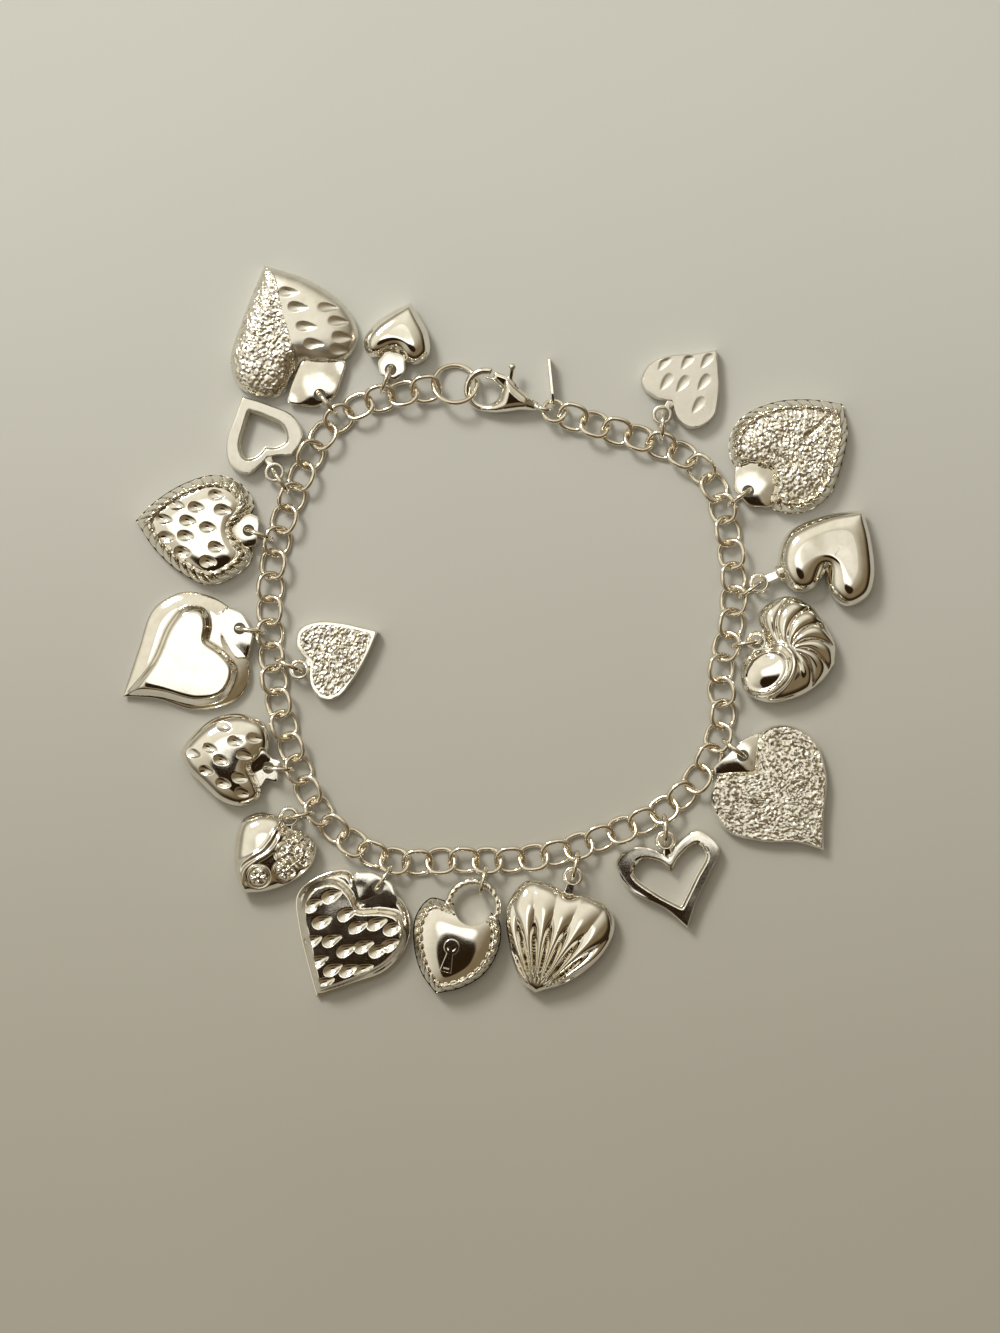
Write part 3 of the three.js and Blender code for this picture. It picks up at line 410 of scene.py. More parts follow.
def chain_joints():
    """The points where links meet, and the pitch between them."""
    in_tail = TAIL_RING_RADIUS - TAIL_RING_WIRE / 2 - RING_GAP - LINK_BITE / 2
    in_end = END_RING_RADIUS - END_RING_WIRE / 2 - RING_GAP - LINK_BITE / 2
    start = towards(tail_centre, CHAIN_ROUTE[0], in_tail)
    end = towards(end_centre, CHAIN_ROUTE[-1], in_end)
    route = catmull_rom([start, *CHAIN_ROUTE, end], 1500, centripetal=False)
    length = np.linalg.norm(np.diff(route, axis=0), axis=1).sum()
    count = 2 * int(length / LINK_PITCH / 2) + 1
    low, high = LINK_PITCH * 0.8, LINK_PITCH * 1.2
    best = []
    for _ in range(30):
        pitch = (low + high) / 2
        found = [route[0]]
        last = route[0]
        for point in route[1:]:
            reach = math.dist(point, found[-1])
            if reach >= pitch and len(found) <= count:
                before = math.dist(last, found[-1])
                found.append(last + (point - last) * (pitch - before) / (reach - before))
            last = point
        if len(found) > count:
            low, best = pitch, found
        else:
            high = pitch
    return np.array(best), low


def link_places():
    joints, pitch = chain_joints()
    count = len(joints) - 1
    rest = (LINK_WIDTH - LINK_WIRE) / 2 * math.sin(math.radians(LINK_ROLL)) + LINK_WIRE / 2
    at = np.arange(count + 1)
    share = np.maximum(0, 1 - np.minimum(at, count - at) / END_LIFT_LINKS)
    joints = np.c_[joints, rest + END_LIFT * share ** 2 * (3 - 2 * share)]
    places = []
    for i in range(count):
        along = Vector(joints[i + 1] - joints[i]).normalized()
        out = Vector((-along.y, along.x, 0)).normalized()
        roll = math.radians(LINK_ROLL if i % 2 == 0 else -LINK_ROLL)
        centre = Vector((joints[i] + joints[i + 1]) / 2)
        places.append({"centre": centre, "along": along, "out": out, "roll": roll})
    return places, pitch, rest


links, link_pitch, rest_level = link_places()
ring_low, ring_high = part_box("tail_ring")
ring_middle = (ring_low + ring_high) / 2 / MM
shift = ring_middle - Vector((*TAIL_RING_AT, CLASP_LEVEL))


# Meshes


def added(name, data):
    """A new object with that data, put in the scene."""
    obj = bpy.data.objects.new(name, data)
    bpy.context.scene.collection.objects.link(obj)
    return obj


def make(name, points, faces):
    """A new object from points in millimetres."""
    mesh = bpy.data.meshes.new(name)
    mesh.from_pydata((np.asarray(points, float) * MM).tolist(), [], faces)
    mesh.validate()
    mesh.update()
    return added(name, mesh)


def apply_modifiers(obj):
    graph = bpy.context.evaluated_depsgraph_get()
    mesh = bpy.data.meshes.new_from_object(obj.evaluated_get(graph))
    obj.modifiers.clear()
    obj.data = mesh


def combine(obj, other, operation):
    """Joins another solid to this one, or cuts it out."""
    modifier = obj.modifiers.new("combine", "BOOLEAN")
    modifier.operation = operation
    modifier.solver = "MANIFOLD"
    modifier.object = other
    apply_modifiers(obj)
    bpy.data.objects.remove(other)
    return obj


def place(obj, matrix):
    """Moves the mesh by a matrix in millimetres, and by the shift to the shared frame."""
    moved = matrix.copy()
    moved.translation = (moved.translation + shift) * MM
    obj.data.transform(moved)
    obj.data.update()
    return obj


def smooth(obj, degrees):
    obj.data.shade_smooth()
    obj.data.set_sharp_from_angle(angle=math.radians(degrees))
    modifier = obj.modifiers.new("normals", "WEIGHTED_NORMAL")
    modifier.keep_sharp = True
    apply_modifiers(obj)


def grid_faces(rows, columns, wrap_rows):
    """Faces over rows of points, each row closed round."""
    faces = []
    for i in range(rows if wrap_rows else rows - 1):
        for j in range(columns):
            k, m = (i + 1) % rows, (j + 1) % columns
            faces.append((i * columns + j, k * columns + j, k * columns + m, i * columns + m))
    return faces


def hoop(name, x, y, wire, around, sides, fullness=1.0, seam=0.0, seam_at=0.0, strands=0, twist=0.2):
    """A wire hoop in the xy plane. A seam leaves a slit of so many degrees; strands twist it like a rope."""
    first = math.radians(seam_at + seam / 2)
    sweep = 2 * math.pi - math.radians(seam)
    steps = around + 1 if seam else around
    points = []
    for i in range(steps):
        a = first + sweep * i / around
        c, s = math.cos(a), math.sin(a)
        px = x * math.copysign(abs(c) ** fullness, c)
        py = y * math.copysign(abs(s) ** fullness, s)
        nx, ny = c * y, s * x
        size = math.hypot(nx, ny)
        for j in range(sides):
            t = 2 * math.pi * j / sides
            radius = wire / 2
            if strands:
                radius *= 1 - twist + twist * abs(math.sin(strands * a / 2 + t))
            across = radius * math.cos(t)
            points.append((px + nx / size * across, py + ny / size * across, radius * math.sin(t)))
    faces = grid_faces(steps, sides, wrap_rows=not seam)
    if seam:
        faces.append(tuple(range(sides)))
        faces.append(tuple(reversed(range(around * sides, steps * sides))))
    return make(name, points, faces)


def disc_stack(name, rings, low_pole, high_pole):
    """A closed body from rings of points, lowest first, with a pole at each end."""
    count = len(rings[0])
    low, high = len(rings) * count, len(rings) * count + 1
    last = (len(rings) - 1) * count
    faces = [(a, d, c, b) for a, b, c, d in grid_faces(len(rings), count, wrap_rows=False)]
    faces += [(low, (j + 1) % count, j) for j in range(count)]
    faces += [(high, last + j, last + (j + 1) % count) for j in range(count)]
    return make(name, np.vstack([*rings, [low_pole], [high_pole]]), faces)


def counterclockwise(outline):
    pts = np.array(outline, float)
    after = np.roll(pts, -1, axis=0)
    area = np.sum(pts[:, 0] * after[:, 1] - after[:, 0] * pts[:, 1])
    return pts[::-1] if area < 0 else pts


def slab(name, outline, low, high, bevel=0.0):
    """A plate with that outline between two levels, its edges rounded off."""
    pts = counterclockwise(outline)
    count = len(pts)
    points = np.vstack([at_level(pts, low), at_level(pts, high)])
    faces = [(j, (j + 1) % count, count + (j + 1) % count, count + j) for j in range(count)]
    faces += [tuple(reversed(range(count))), tuple(range(count, 2 * count))]
    obj = make(name, points, faces)
    if bevel:
        modifier = obj.modifiers.new("edges", "BEVEL")
        modifier.width = bevel * MM
        modifier.segments = 3
        modifier.limit_method = "ANGLE"
        modifier.angle_limit = math.radians(50)
        apply_modifiers(obj)
    return obj


def arc(centre, radius, start, end, steps):
    angles = np.radians(np.linspace(start, end, steps + 1))
    return [(centre[0] + radius * math.cos(a), centre[1] + radius * math.sin(a)) for a in angles]


def circle(centre, radius, sides):
    return arc(centre, radius, 0, 360 - 360 / sides, sides - 1)


def drill(obj, centre, radius, sides=48):
    """Cuts a round hole right through a piece."""
    return combine(obj, slab("hole", circle(centre, radius, sides), *THROUGH), "DIFFERENCE")


def rounded(outline):
    """The outline with its corners rounded off."""
    pts = np.array(outline, float)
    mids = (pts + np.roll(pts, -1, axis=0)) / 2
    t = np.linspace(0, 1, 12)[:, None]
    curve = []
    for corner, start, end in zip(np.roll(pts, -1, axis=0), mids, np.roll(mids, -1, axis=0)):
        start = corner + (start - corner) * CORNER_SHARE
        end = corner + (end - corner) * CORNER_SHARE
        curve.append((1 - t) ** 2 * start + 2 * t * (1 - t) * corner + t ** 2 * end)
    return np.vstack(curve)


# Relief on the charms


def lattice_noise(x, y, cell, seed):
    """Smooth noise from -1 to 1 with one value for each square cell."""
    table = np.random.default_rng(seed).uniform(-1, 1, (256, 256))
    gx, gy = x / cell + 128, y / cell + 128
    ix, iy = np.floor(gx).astype(int), np.floor(gy).astype(int)
    fx, fy = gx - ix, gy - iy
    fx, fy = fx * fx * (3 - 2 * fx), fy * fy * (3 - 2 * fy)
    a, b = table[ix & 255, iy & 255], table[(ix + 1) & 255, iy & 255]
    c, d = table[ix & 255, (iy + 1) & 255], table[(ix + 1) & 255, (iy + 1) & 255]
    return (a * (1 - fx) + b * fx) * (1 - fy) + (c * (1 - fx) + d * fx) * fy


def step(value, low, high):
    """A smooth share that runs from 0 at the low value to 1 at the high one."""
    t = np.clip((value - low) / (high - low), 0, 1)
    return t * t * (3 - 2 * t)


def ridge(value, width):
    """A soft ridge, 1 high where the value is 0."""
    return np.exp(-(value / width) ** 2)


def heart_line(shape, count):
    """The closed outline of a heart, from its notch by the right side to the tip and back."""
    half = []
    for side in ("right", "left"):
        curve = catmull_rom([shape["notch"], *shape[side], shape["tip"]], 160, centripetal=True)
        half.append(even(curve, count // 2))
    return np.vstack([half[0], half[1][::-1][1:-1]])


def depth_in(x, y, line):
    """A smooth distance from each point to a closed line, and whether it lies inside."""
    nxt = np.roll(line, -1, axis=0)
    mid, span = (line + nxt) / 2, np.linalg.norm(nxt - line, axis=1)
    total = np.zeros(x.shape)
    inside = np.zeros(x.shape, bool)
    for (mx, my), ds, (ax, ay), (bx, by) in zip(mid, span, line, nxt):
        total += ds / ((x - mx) ** 2 + (y - my) ** 2 + (0.3 * ds) ** 2) ** 1.5
        if ay != by:
            crossing = (ay > y) != (by > y)
            inside ^= crossing & (x < (bx - ax) * (y - ay) / (by - ay) + ax)
    return np.sqrt(2 / total), inside


def line_distance(x, y, points):
    """The distance from each point to an open line."""
    best = np.full(x.shape, 1e9)
    for (ax, ay), (bx, by) in zip(points, points[1:]):
        ux, uy = bx - ax, by - ay
        t = np.clip(((x - ax) * ux + (y - ay) * uy) / (ux * ux + uy * uy), 0, 1)
        best = np.minimum(best, np.hypot(x - ax - t * ux, y - ay - t * uy))
    return best


def dimple_relief(x, y, charm):
    """Scooped teardrop hollows."""
    shape = charm["dimple"]
    out = np.zeros(x.shape)
    for cx, cy in charm["dimples"]:
        u, v = turned(x - cx, y - cy, -shape["turn"])
        u = u / (shape["length"] / 2)
        v = v / (shape["width"] / 2 * np.clip(1 + shape["point"] * u, 0.2, 2))
        q = np.hypot(u, v)
        out -= shape["depth"] * np.clip(1 - q * q, 0, 1)
    return out


def rope_relief(depth, around, rope):
    """A twisted rope along the outline; around runs from 0 to 1 along it."""
    t = np.clip(depth / rope["width"], 0, 1)
    crest = np.sqrt(np.clip(1 - (2 * t - 1) ** 2, 0, 1))
    phase = (around * rope["strands"] + 0.9 * t) % 1 - 0.5
    gap = ridge(0.5 - np.abs(phase), 0.13)
    groove = ridge(t - 1.06, 0.14)
    return crest * rope["height"] * (1 - 0.8 * gap - 0.5 * phase ** 2) - 0.3 * groove


def flute_relief(x, y, depth, flutes):
    """Ribs that spread from the tip, and fade toward the lobes."""
    hx, hy = flutes["hub"]
    angle = np.degrees(np.arctan2(y - hy, x - hx)) - flutes["centre"]
    reach = np.hypot(x - hx, y - hy)
    wave = np.abs(np.sin(math.pi * (angle / flutes["step"] + 0.5)))
    fade = step(reach, 1.2, 5.0) * (1 - 0.85 * step(reach, 6.5, 12.5)) * step(depth, 0.0, 1.0)
    return flutes["depth"] * (wave ** 0.9 - 0.8) * fade


def swirl_relief(x, y, depth, swirl):
    """Curved flutes that run out from a hub on one side of it."""
    hx, hy = swirl["hub"]
    reach = np.hypot(x - hx, y - hy)
    angle = np.degrees(np.arctan2(y - hy, x - hx)) % 360
    bent = angle + swirl["lean"] * reach
    wave = np.abs(np.sin(math.radians(1) * bent * swirl["flutes"] / 2))
    inside = step(angle, swirl["from"], swirl["from"] + 16)
    inside *= 1 - step(angle, swirl["to"] - 16, swirl["to"])
    return swirl["depth"] * (wave ** 0.6 - 0.75) * inside * step(reach, 0.3, 2.2) * step(depth, 0.0, 0.8)


def oval_relief(x, y, oval):
    """A smooth oval lobe with two raised lips."""
    u, v = turned(x - oval["at"][0], y - oval["at"][1], -oval["along"])
    q = np.hypot(u / (oval["length"] / 2 * 1.25), v / (oval["width"] / 2 * 1.25))
    lips = ridge(q - 1.0, 0.1) + 0.8 * ridge(q - 1.32, 0.1)
    return oval["height"] * lips - 0.2 * ridge(q - 1.16, 0.07)


def flower_relief(x, y, charm):
    """Raised lines and small flowers of five petals round a bead."""
    out = np.zeros(x.shape)
    for points in charm["lines"]:
        away = line_distance(x, y, even(catmull_rom(points, 40, centripetal=True), 24))
        out += charm["line"]["height"] * ridge(away, charm["line"]["width"] / 1.6)
    size = charm["flower"]
    for k, (cx, cy) in enumerate(charm["flowers"]):
        reach = np.hypot(x - cx, y - cy) / size
        angle = np.arctan2(y - cy, x - cx) + k
        petal = 0.55 + 0.45 * np.cos(5 * angle)
        out += 0.42 * petal * ridge(reach - 0.6, 0.3)
        out += 0.34 * ridge(reach, 0.22) - 0.3 * ridge(reach - 1.12, 0.16)
    return out


def crease_relief(x, y, creases):
    out = np.zeros(x.shape)
    for points in creases:
        out -= 0.35 * ridge(line_distance(x, y, points), 0.3)
    return out


def keyhole_line(key, grow):
    """The outline of the keyhole: a circle over a slot that widens."""
    points = arc((0, 0), key["radius"] + grow, 115, 425, 30)
    points += [(key["foot"] / 2 + grow, key["slot"] + grow), (-key["foot"] / 2 - grow, key["slot"] + grow)]
    return [tuple(np.add(turned(px, py, key["turn"]), key["at"])) for px, py in points]


def add_keyhole(obj, key, level):
    """A raised lip round a keyhole that is cut into the front."""
    combine(obj, slab("lip", keyhole_line(key, key["rim"]), level - 1.2, level + 0.12, 0.1), "UNION")
    return combine(obj, slab("keyhole", keyhole_line(key, 0), level - 0.9, level + 2), "DIFFERENCE")


def front_height(charm, x, y, depth, around, deepest):
    """The level of a charm's front at each point, and the share of glitter there."""
    section = charm["section"]
    t = np.clip(depth / deepest, 0, 1)
    if section["rise"] == "dome":
        crest, edge = charm.get("crest", 2.0), charm.get("edge", section["edge"])
        rise = np.clip(1 - (1 - np.clip(t / edge, 0, 1)) ** crest, 0, 1) ** (1 / crest)
    else:
        rise = step(t, 0, section["edge"]) * 0.96 + 0.04 * t
    z = section["rim"] + (section["top"] - section["rim"]) * rise
    glitter = np.zeros(x.shape)
    clear = step(depth, 0.1, 0.6)
    z += WAVE_HEIGHT * lattice_noise(x, y, WAVE_LENGTH, 7) * clear
    if "lean" in charm:
        z += charm["lean"] * (y - charm["notch"][1]) * step(depth, 0, 1.5)
    if "raised" in charm:
        raised = charm["raised"]
        inner, inside = depth_in(x, y, heart_line(raised, 160))
        share = np.where(inside, step(inner, 0, raised["edge"]), 0)
        crown = np.where(inside, step(inner, 0, 4.5), 0)
        z += raised["height"] * share + raised["dome"] * crown
    if "rope" in charm:
        z += rope_relief(depth, around, charm["rope"]) * step(depth, 0, 0.15)
        z -= (section["top"] - section["rim"]) * 0.3 * (1 - step(depth, 0, charm["rope"]["width"]))
    if "dimples" in charm:
        z += dimple_relief(x, y, charm) * clear
    if "flutes" in charm:
        z += flute_relief(x, y, depth, charm["flutes"])
    if "swirl" in charm:
        z += swirl_relief(x, y, depth, charm["swirl"])
    if "oval" in charm:
        z += oval_relief(x, y, charm["oval"]) * clear
    if "lines" in charm:
        z += flower_relief(x, y, charm) * clear
    if "creases" in charm:
        z += crease_relief(x, y, charm["creases"])
    if "frame" in charm:
        away, inside = depth_in(x, y, heart_line(charm["frame"], 240))
        z -= 0.4 * np.where(inside, 1, 1 - step(away, 0.02, 0.4))
    if charm["look"] == "glitter":
        plain = charm.get("plain", 0.35)
        glitter = step(depth, plain - 0.08, plain + 0.08)
    if charm["look"] == "half":
        split = catmull_rom(charm["split"], 60, centripetal=True)
        line = np.vstack([split, [(-14, 0), (-14, 20)]])
        away, inside = depth_in(x, y, line)
        glitter = np.where(inside, step(away, 0.05, 0.2), 0)
        z -= 0.5 * ridge(line_distance(x, y, split[6:]), 0.28) * step(-y, -7.5, -5.5)
        z += 0.12 * np.where(inside, 1 - step(away, 0, 0.5), 0)
    if "flush" in charm:
        away, inside = depth_in(x, y, rounded(charm["pad"]))
        z = np.where(inside, np.maximum(z, TAB_TOP), z)
    elif "pad" in charm:
        away, inside = depth_in(x, y, rounded(charm["pad"]))
        near = np.where(inside, 1, 1 - step(away, 0.02, 0.4))
        z = z * (1 - near) + np.minimum(z, TAB_TOP - TAB_RECESS) * near
        glitter = np.where(inside | (away < 0.25), 0, glitter)
    if "grain" in charm:
        rough = lattice_noise(x, y, COARSE_GRAIN, 11) + lattice_noise(x + 0.4 * y, y, FINE_GRAIN, 12)
        z += charm["grain"] * 0.7 * rough * glitter
    return np.minimum(z, HIGHEST), glitter


def mesh_counts(charm):
    """How many points go round a charm's front, and how many rings it has."""
    if charm["look"] in ("glitter", "half") or "rope" in charm:
        return FINE_MESH
    if any(key in charm for key in ("dimples", "flutes", "swirl", "lines", "raised")):
        return RELIEF_MESH
    return PLAIN_MESH


def heart_body(name, charm):
    """The heart itself: a front with its relief, a rim and a back that rests on the surface."""
    section = charm["section"]
    around_count, ring_count = mesh_counts(charm)
    middle = np.array(charm["notch"]) * (1 - MIDDLE_SHARE) + np.array(charm["tip"]) * MIDDLE_SHARE

    def outline(count):
        return middle + (heart_line(charm, count) - middle) * OUTLINE_SHARE

    def spread(shares):
        grid = middle + (line[None] - middle) * shares[:, None, None]
        return grid[..., 0], grid[..., 1]

    line = outline(around_count)
    x, y = spread(1 - (np.arange(ring_count) / ring_count) ** 1.12)
    depth, _ = depth_in(x, y, outline(480))
    depth[0] = 0
    deepest = depth.max()
    around = np.broadcast_to(np.arange(around_count) / around_count, x.shape)
    z, glitter = front_height(charm, x, y, depth, around, deepest)
    z[0] = section["rim"]
    bx, by = spread(np.linspace(0, 1, BACK_RINGS + 1)[1:] ** 0.7)
    back_depth, _ = depth_in(bx, by, line)
    back_depth[-1] = 0
    low = max(0.05, section["rim"] * 0.25) if section["rise"] == "bevel" else section["rim"]
    t = np.clip(back_depth / deepest / section["back"], 0, 1)
    back_z = low * (1 - np.sqrt(np.clip(1 - (1 - t) ** 2, 0, 1)))
    rings = list(np.stack([bx, by, back_z], axis=2))
    if section["rise"] == "bevel":
        rings.append(at_level(line, section["rim"]))
    rings += list(np.stack([x, y, z], axis=2))[1:]
    obj = disc_stack(name, rings, (*middle, 0), (*middle, z[-1].mean()))
    return obj, np.array([x, y, glitter])


def centre_slot(charm):
    """The way of the jump ring past the heart, cut through its edge."""
    outline = [(-SLOT_HALF, -HOLE_REACH), (SLOT_HALF, -HOLE_REACH)]
    outline += arc((0, 0.1), SLOT_HALF, 0, 180, 16)
    outline = [turned(px, py, -charm["turn"]) for px, py in outline]
    return slab("slot", outline, *THROUGH)


def tab_part(charm):
    """The soldered tab: a plate with a soft edge and a slightly crowned face."""
    outline = counterclockwise(rounded(charm["pad"]))
    outline = even(np.vstack([outline, outline[:1]]), TAB_SIDES)[:-1]
    centre = outline.mean(axis=0)
    crown = centre + np.array(charm.get("crown", (0, 0)))
    top, bend = (TAB_TOP - 0.01, 0.006) if "flush" in charm else (TAB_TOP, 0.022)
    rings = [at_level(centre + (outline - centre) * share, TAB_LOW) for share in (0.5, 1.0)]
    for share, drop in TAB_PROFILE:
        spots = centre + (outline - centre) * share
        away = np.hypot(*(spots - crown).T)
        level = top - bend * away ** 2 + 0.02 * lattice_noise(*spots.T, 1.3, 21)
        rings.append(np.c_[spots, np.clip(level, TAB_TOP - TAB_CROWN, top) - drop])
    return disc_stack("tab", rings, (*centre, TAB_LOW), (*centre, rings[-1][:, 2].mean()))


def bail_part(charm):
    """A round bail for the ring, with a neck into the heart."""
    radius = TAB_HOLE + BAIL_WIRE / 2
    ring = hoop("bail", radius, radius, BAIL_WIRE, 48, 14)
    ring.data.transform(Matrix.Translation((0, 0, (TAB_LOW + TAB_TOP) / 2 * MM)))
    goal = np.array(charm["collar"]["at"]) * 1.5 if "collar" in charm else np.array(charm["notch"])
    aim = math.degrees(math.atan2(goal[1], goal[0]))
    reach = np.hypot(*goal) + 0.9
    half = charm["bail"] * 0.55
    outline = [(radius * 0.95, -half * 0.75), (reach, -half), (reach, half), (radius * 0.95, half * 0.75)]
    outline = [turned(px, py, aim) for px, py in outline]
    return combine(ring, slab("neck", outline, TAB_LOW + 0.02, TAB_TOP - 0.02, 0.12), "UNION")


def collar_part(collar):
    """A ring round the neck of the bail."""
    ring = hoop("collar", collar["radius"] * 0.62, collar["radius"] * 0.62, 0.7, 40, 12)
    aim = math.atan2(collar["at"][1], collar["at"][0])
    ring.data.transform(Matrix.Translation(Vector((*collar["at"], 1.45)) * MM)
                        @ Matrix.Rotation(aim, 4, "Z") @ spin(90, "Y"))
    return ring


def charm_piece(name, charm):
    """One whole charm in its own frame."""
    obj, field = heart_body("charm_look_" + name, charm)
    if "frame" in charm:
        combine(obj, slab("opening", heart_line(charm["frame"], 120), *THROUGH), "DIFFERENCE")
    if "keyhole" in charm:
        add_keyhole(obj, charm["keyhole"], charm["section"]["top"])
    if "shackle" in charm:
        shackle = charm["shackle"]
        drill(obj, shackle["centre"], shackle["bore"], 60)
        rope = hoop("rope", shackle["radius"], shackle["radius"], shackle["wire"], 160, 16,
                    strands=shackle["strands"])
        rope.data.transform(Matrix.Translation(Vector((*shackle["centre"], shackle["level"])) * MM))
        combine(obj, rope, "UNION")
    else:
        combine(obj, centre_slot(charm), "DIFFERENCE")
    if "pad" in charm:
        combine(obj, tab_part(charm), "UNION")
        drill(obj, (0, 0), TAB_HOLE)
    elif "bail" in charm:
        combine(obj, bail_part(charm), "UNION")
    if "collar" in charm:
        combine(obj, collar_part(charm["collar"]), "UNION")
    paint(obj, charm, field)
    smooth(obj, CHARM_SHARP)
    return obj


def paint(obj, charm, field):
    """Gives each face its finish: glitter where the grain is, satin or polish elsewhere."""
    mesh = obj.data
    mesh.materials.clear()
    base = {"polished": "polished", "satin": "satin", "glitter": "polished", "half": "satin"}[charm["look"]]
    for finish in (base, "glitter", "polished"):
        mesh.materials.append(finishes[finish])
    slots = np.zeros(len(mesh.polygons), np.int32)
    if charm["look"] in ("glitter", "half"):
        cell = 0.2
        centres = np.array([p.center for p in mesh.polygons]) / MM
        ups = np.array([p.normal.z for p in mesh.polygons])
        x, y, glitter = (part.ravel() for part in field)
        table = {}
        for px, py, value in zip(x, y, glitter):
            table[(round(px / cell), round(py / cell))] = value
        for i, (c, up) in enumerate(zip(centres, ups)):
            share = table.get((round(c[0] / cell), round(c[1] / cell)), 0)
            slots[i] = up > 0.05 and share > 0.5 and c[2] > 1.0
        if charm["look"] == "half":
            _, inside = depth_in(centres[:, 0], centres[:, 1], rounded(charm["pad"]))
            slots[inside & (centres[:, 2] < TAB_TOP + 0.01)] = 2
    mesh.polygons.foreach_set("material_index", slots)


# Materials


def feed(tree, socket, value):
    """Joins a socket to another one, or sets its value."""
    if isinstance(value, bpy.types.NodeSocket):
        tree.links.new(value, socket)
    else:
        socket.default_value = value


def add(tree, kind, inputs):
    """A new shader node with its inputs joined or set."""
    node = tree.nodes.new("ShaderNode" + kind)
    for key, value in inputs.items():
        feed(tree, node.inputs[key], value)
    return node


def noise(tree, coords, scale, detail, stretch=(1, 1, 1)):
    mapping = add(tree, "Mapping", {"Scale": stretch, "Vector": coords.outputs["Object"]})
    spot = mapping.outputs["Vector"]
    return add(tree, "TexNoise", {"Scale": scale, "Detail": detail, "Vector": spot}).outputs["Fac"]


def ramp(tree, source, stops):
    """Colours by a value, from stops of a place and a colour."""
    node = tree.nodes.new("ShaderNodeValToRGB")
    elements = node.color_ramp.elements
    while len(elements) < len(stops):
        elements.new(0.5)
    for element, (at, colour) in zip(elements, stops):
        element.position = at
        element.color = (*colour, 1)
    feed(tree, node.inputs["Fac"], source)
    return node.outputs["Color"]


def vector_math(tree, operation, *values):
    node = tree.nodes.new("ShaderNodeVectorMath")
    node.operation = operation
    for socket, value in zip(node.inputs, values):
        feed(tree, socket, value)
    return node.outputs["Value" if operation in ("LENGTH", "DOT_PRODUCT") else "Vector"]


def between(tree, source, low, high):
    """A smooth share that runs from 0 at the low value to 1 at the high one."""
    node = add(tree, "MapRange", {"From Min": low, "From Max": high, "Value": source})
    node.interpolation_type = "SMOOTHSTEP"
    return node.outputs["Result"]


def blend(tree, share, under, over, kind="MIX"):
    """One colour over another; each is a socket or a plain colour."""
    mix = tree.nodes.new("ShaderNodeMix")
    mix.data_type = "RGBA"
    mix.blend_type = kind
    feed(tree, mix.inputs["Factor"], share)
    for side, value in (("A", under), ("B", over)):
        feed(tree, mix.inputs[side], (*value, 1) if isinstance(value, tuple) else value)
    return mix.outputs["Result"]


def new_material(name):
    """A material, its node tree, its shader and its coordinates."""
    material = bpy.data.materials.new(name)
    material.use_nodes = True
    tree = material.node_tree
    return material, tree, tree.nodes["Principled BSDF"].inputs, tree.nodes.new("ShaderNodeTexCoord")


def faceted(tree, facing, coords, grain):
    """A normal tilted by a random amount in each small cell, as on cut grains."""
    for scale, share in zip(GRAIN_SCALES, (grain, grain * 0.8)):
        cells = add(tree, "TexVoronoi", {"Scale": scale, "Vector": coords.outputs["Object"]})
        tilt = vector_math(tree, "MULTIPLY_ADD", cells.outputs["Color"], (share,) * 3, (-share / 2,) * 3)
        facing = vector_math(tree, "ADD", facing, tilt)
    return vector_math(tree, "NORMALIZE", facing)


def silver(name, light, dark, rough, scratch, grain=0.0):
    """Silver with tarnish and painted shade in its hollows, cloudy gloss and fine scratches."""
    material, tree, shader, coords = new_material(name)
    feed(tree, shader["Metallic"], 1.0)
    geometry = tree.nodes.new("ShaderNodeNewGeometry")
    # Painted shade with tarnish: the base colour goes dark where pointiness is low, in hollows and grooves
    hollow = ramp(tree, geometry.outputs["Pointiness"], [(0.37, dark), (0.465, light), (1.0, light)])
    cloud = noise(tree, coords, CLOUD_SCALE, 4)
    tone = ramp(tree, cloud, [(0.3, CLOUD_TONE), (0.7, WHITE)])
    feed(tree, shader["Base Color"], blend(tree, 1.0, hollow, tone, "MULTIPLY"))
    gloss = add(tree, "MapRange", {"To Min": rough * 0.7, "To Max": rough * 1.4, "Value": cloud})
    feed(tree, shader["Roughness"], gloss.outputs["Result"])
    lines = noise(tree, coords, SCRATCH_SCALE, 3, (1, 6, 1))
    bump = add(tree, "Bump", {"Strength": scratch, "Distance": SCRATCH_DEPTH * MM, "Height": lines})
    facing = bump.outputs["Normal"]
    feed(tree, shader["Normal"], faceted(tree, facing, coords, grain) if grain else facing)
    return material


finishes = {
    "polished": silver("polished_silver", LIGHT_SILVER, TARNISH_AND_HOLLOW_SHADE, 0.06, 0.05),
    # The wire silver is darker as painted shade
    "wire": silver("wire_silver", SHADED_WIRE_SILVER, TARNISH_AND_HOLLOW_SHADE, 0.06, 0.05),
    "satin": silver("satin_silver", SATIN_SILVER, TARNISH_AND_HOLLOW_SHADE, 0.3, 0.3),
    "glitter": silver("glitter_silver", GLITTER_SILVER, GLITTER_TARNISH_AND_HOLLOW_SHADE, 0.22, 0.2, grain=0.31),
}


# The wire pieces


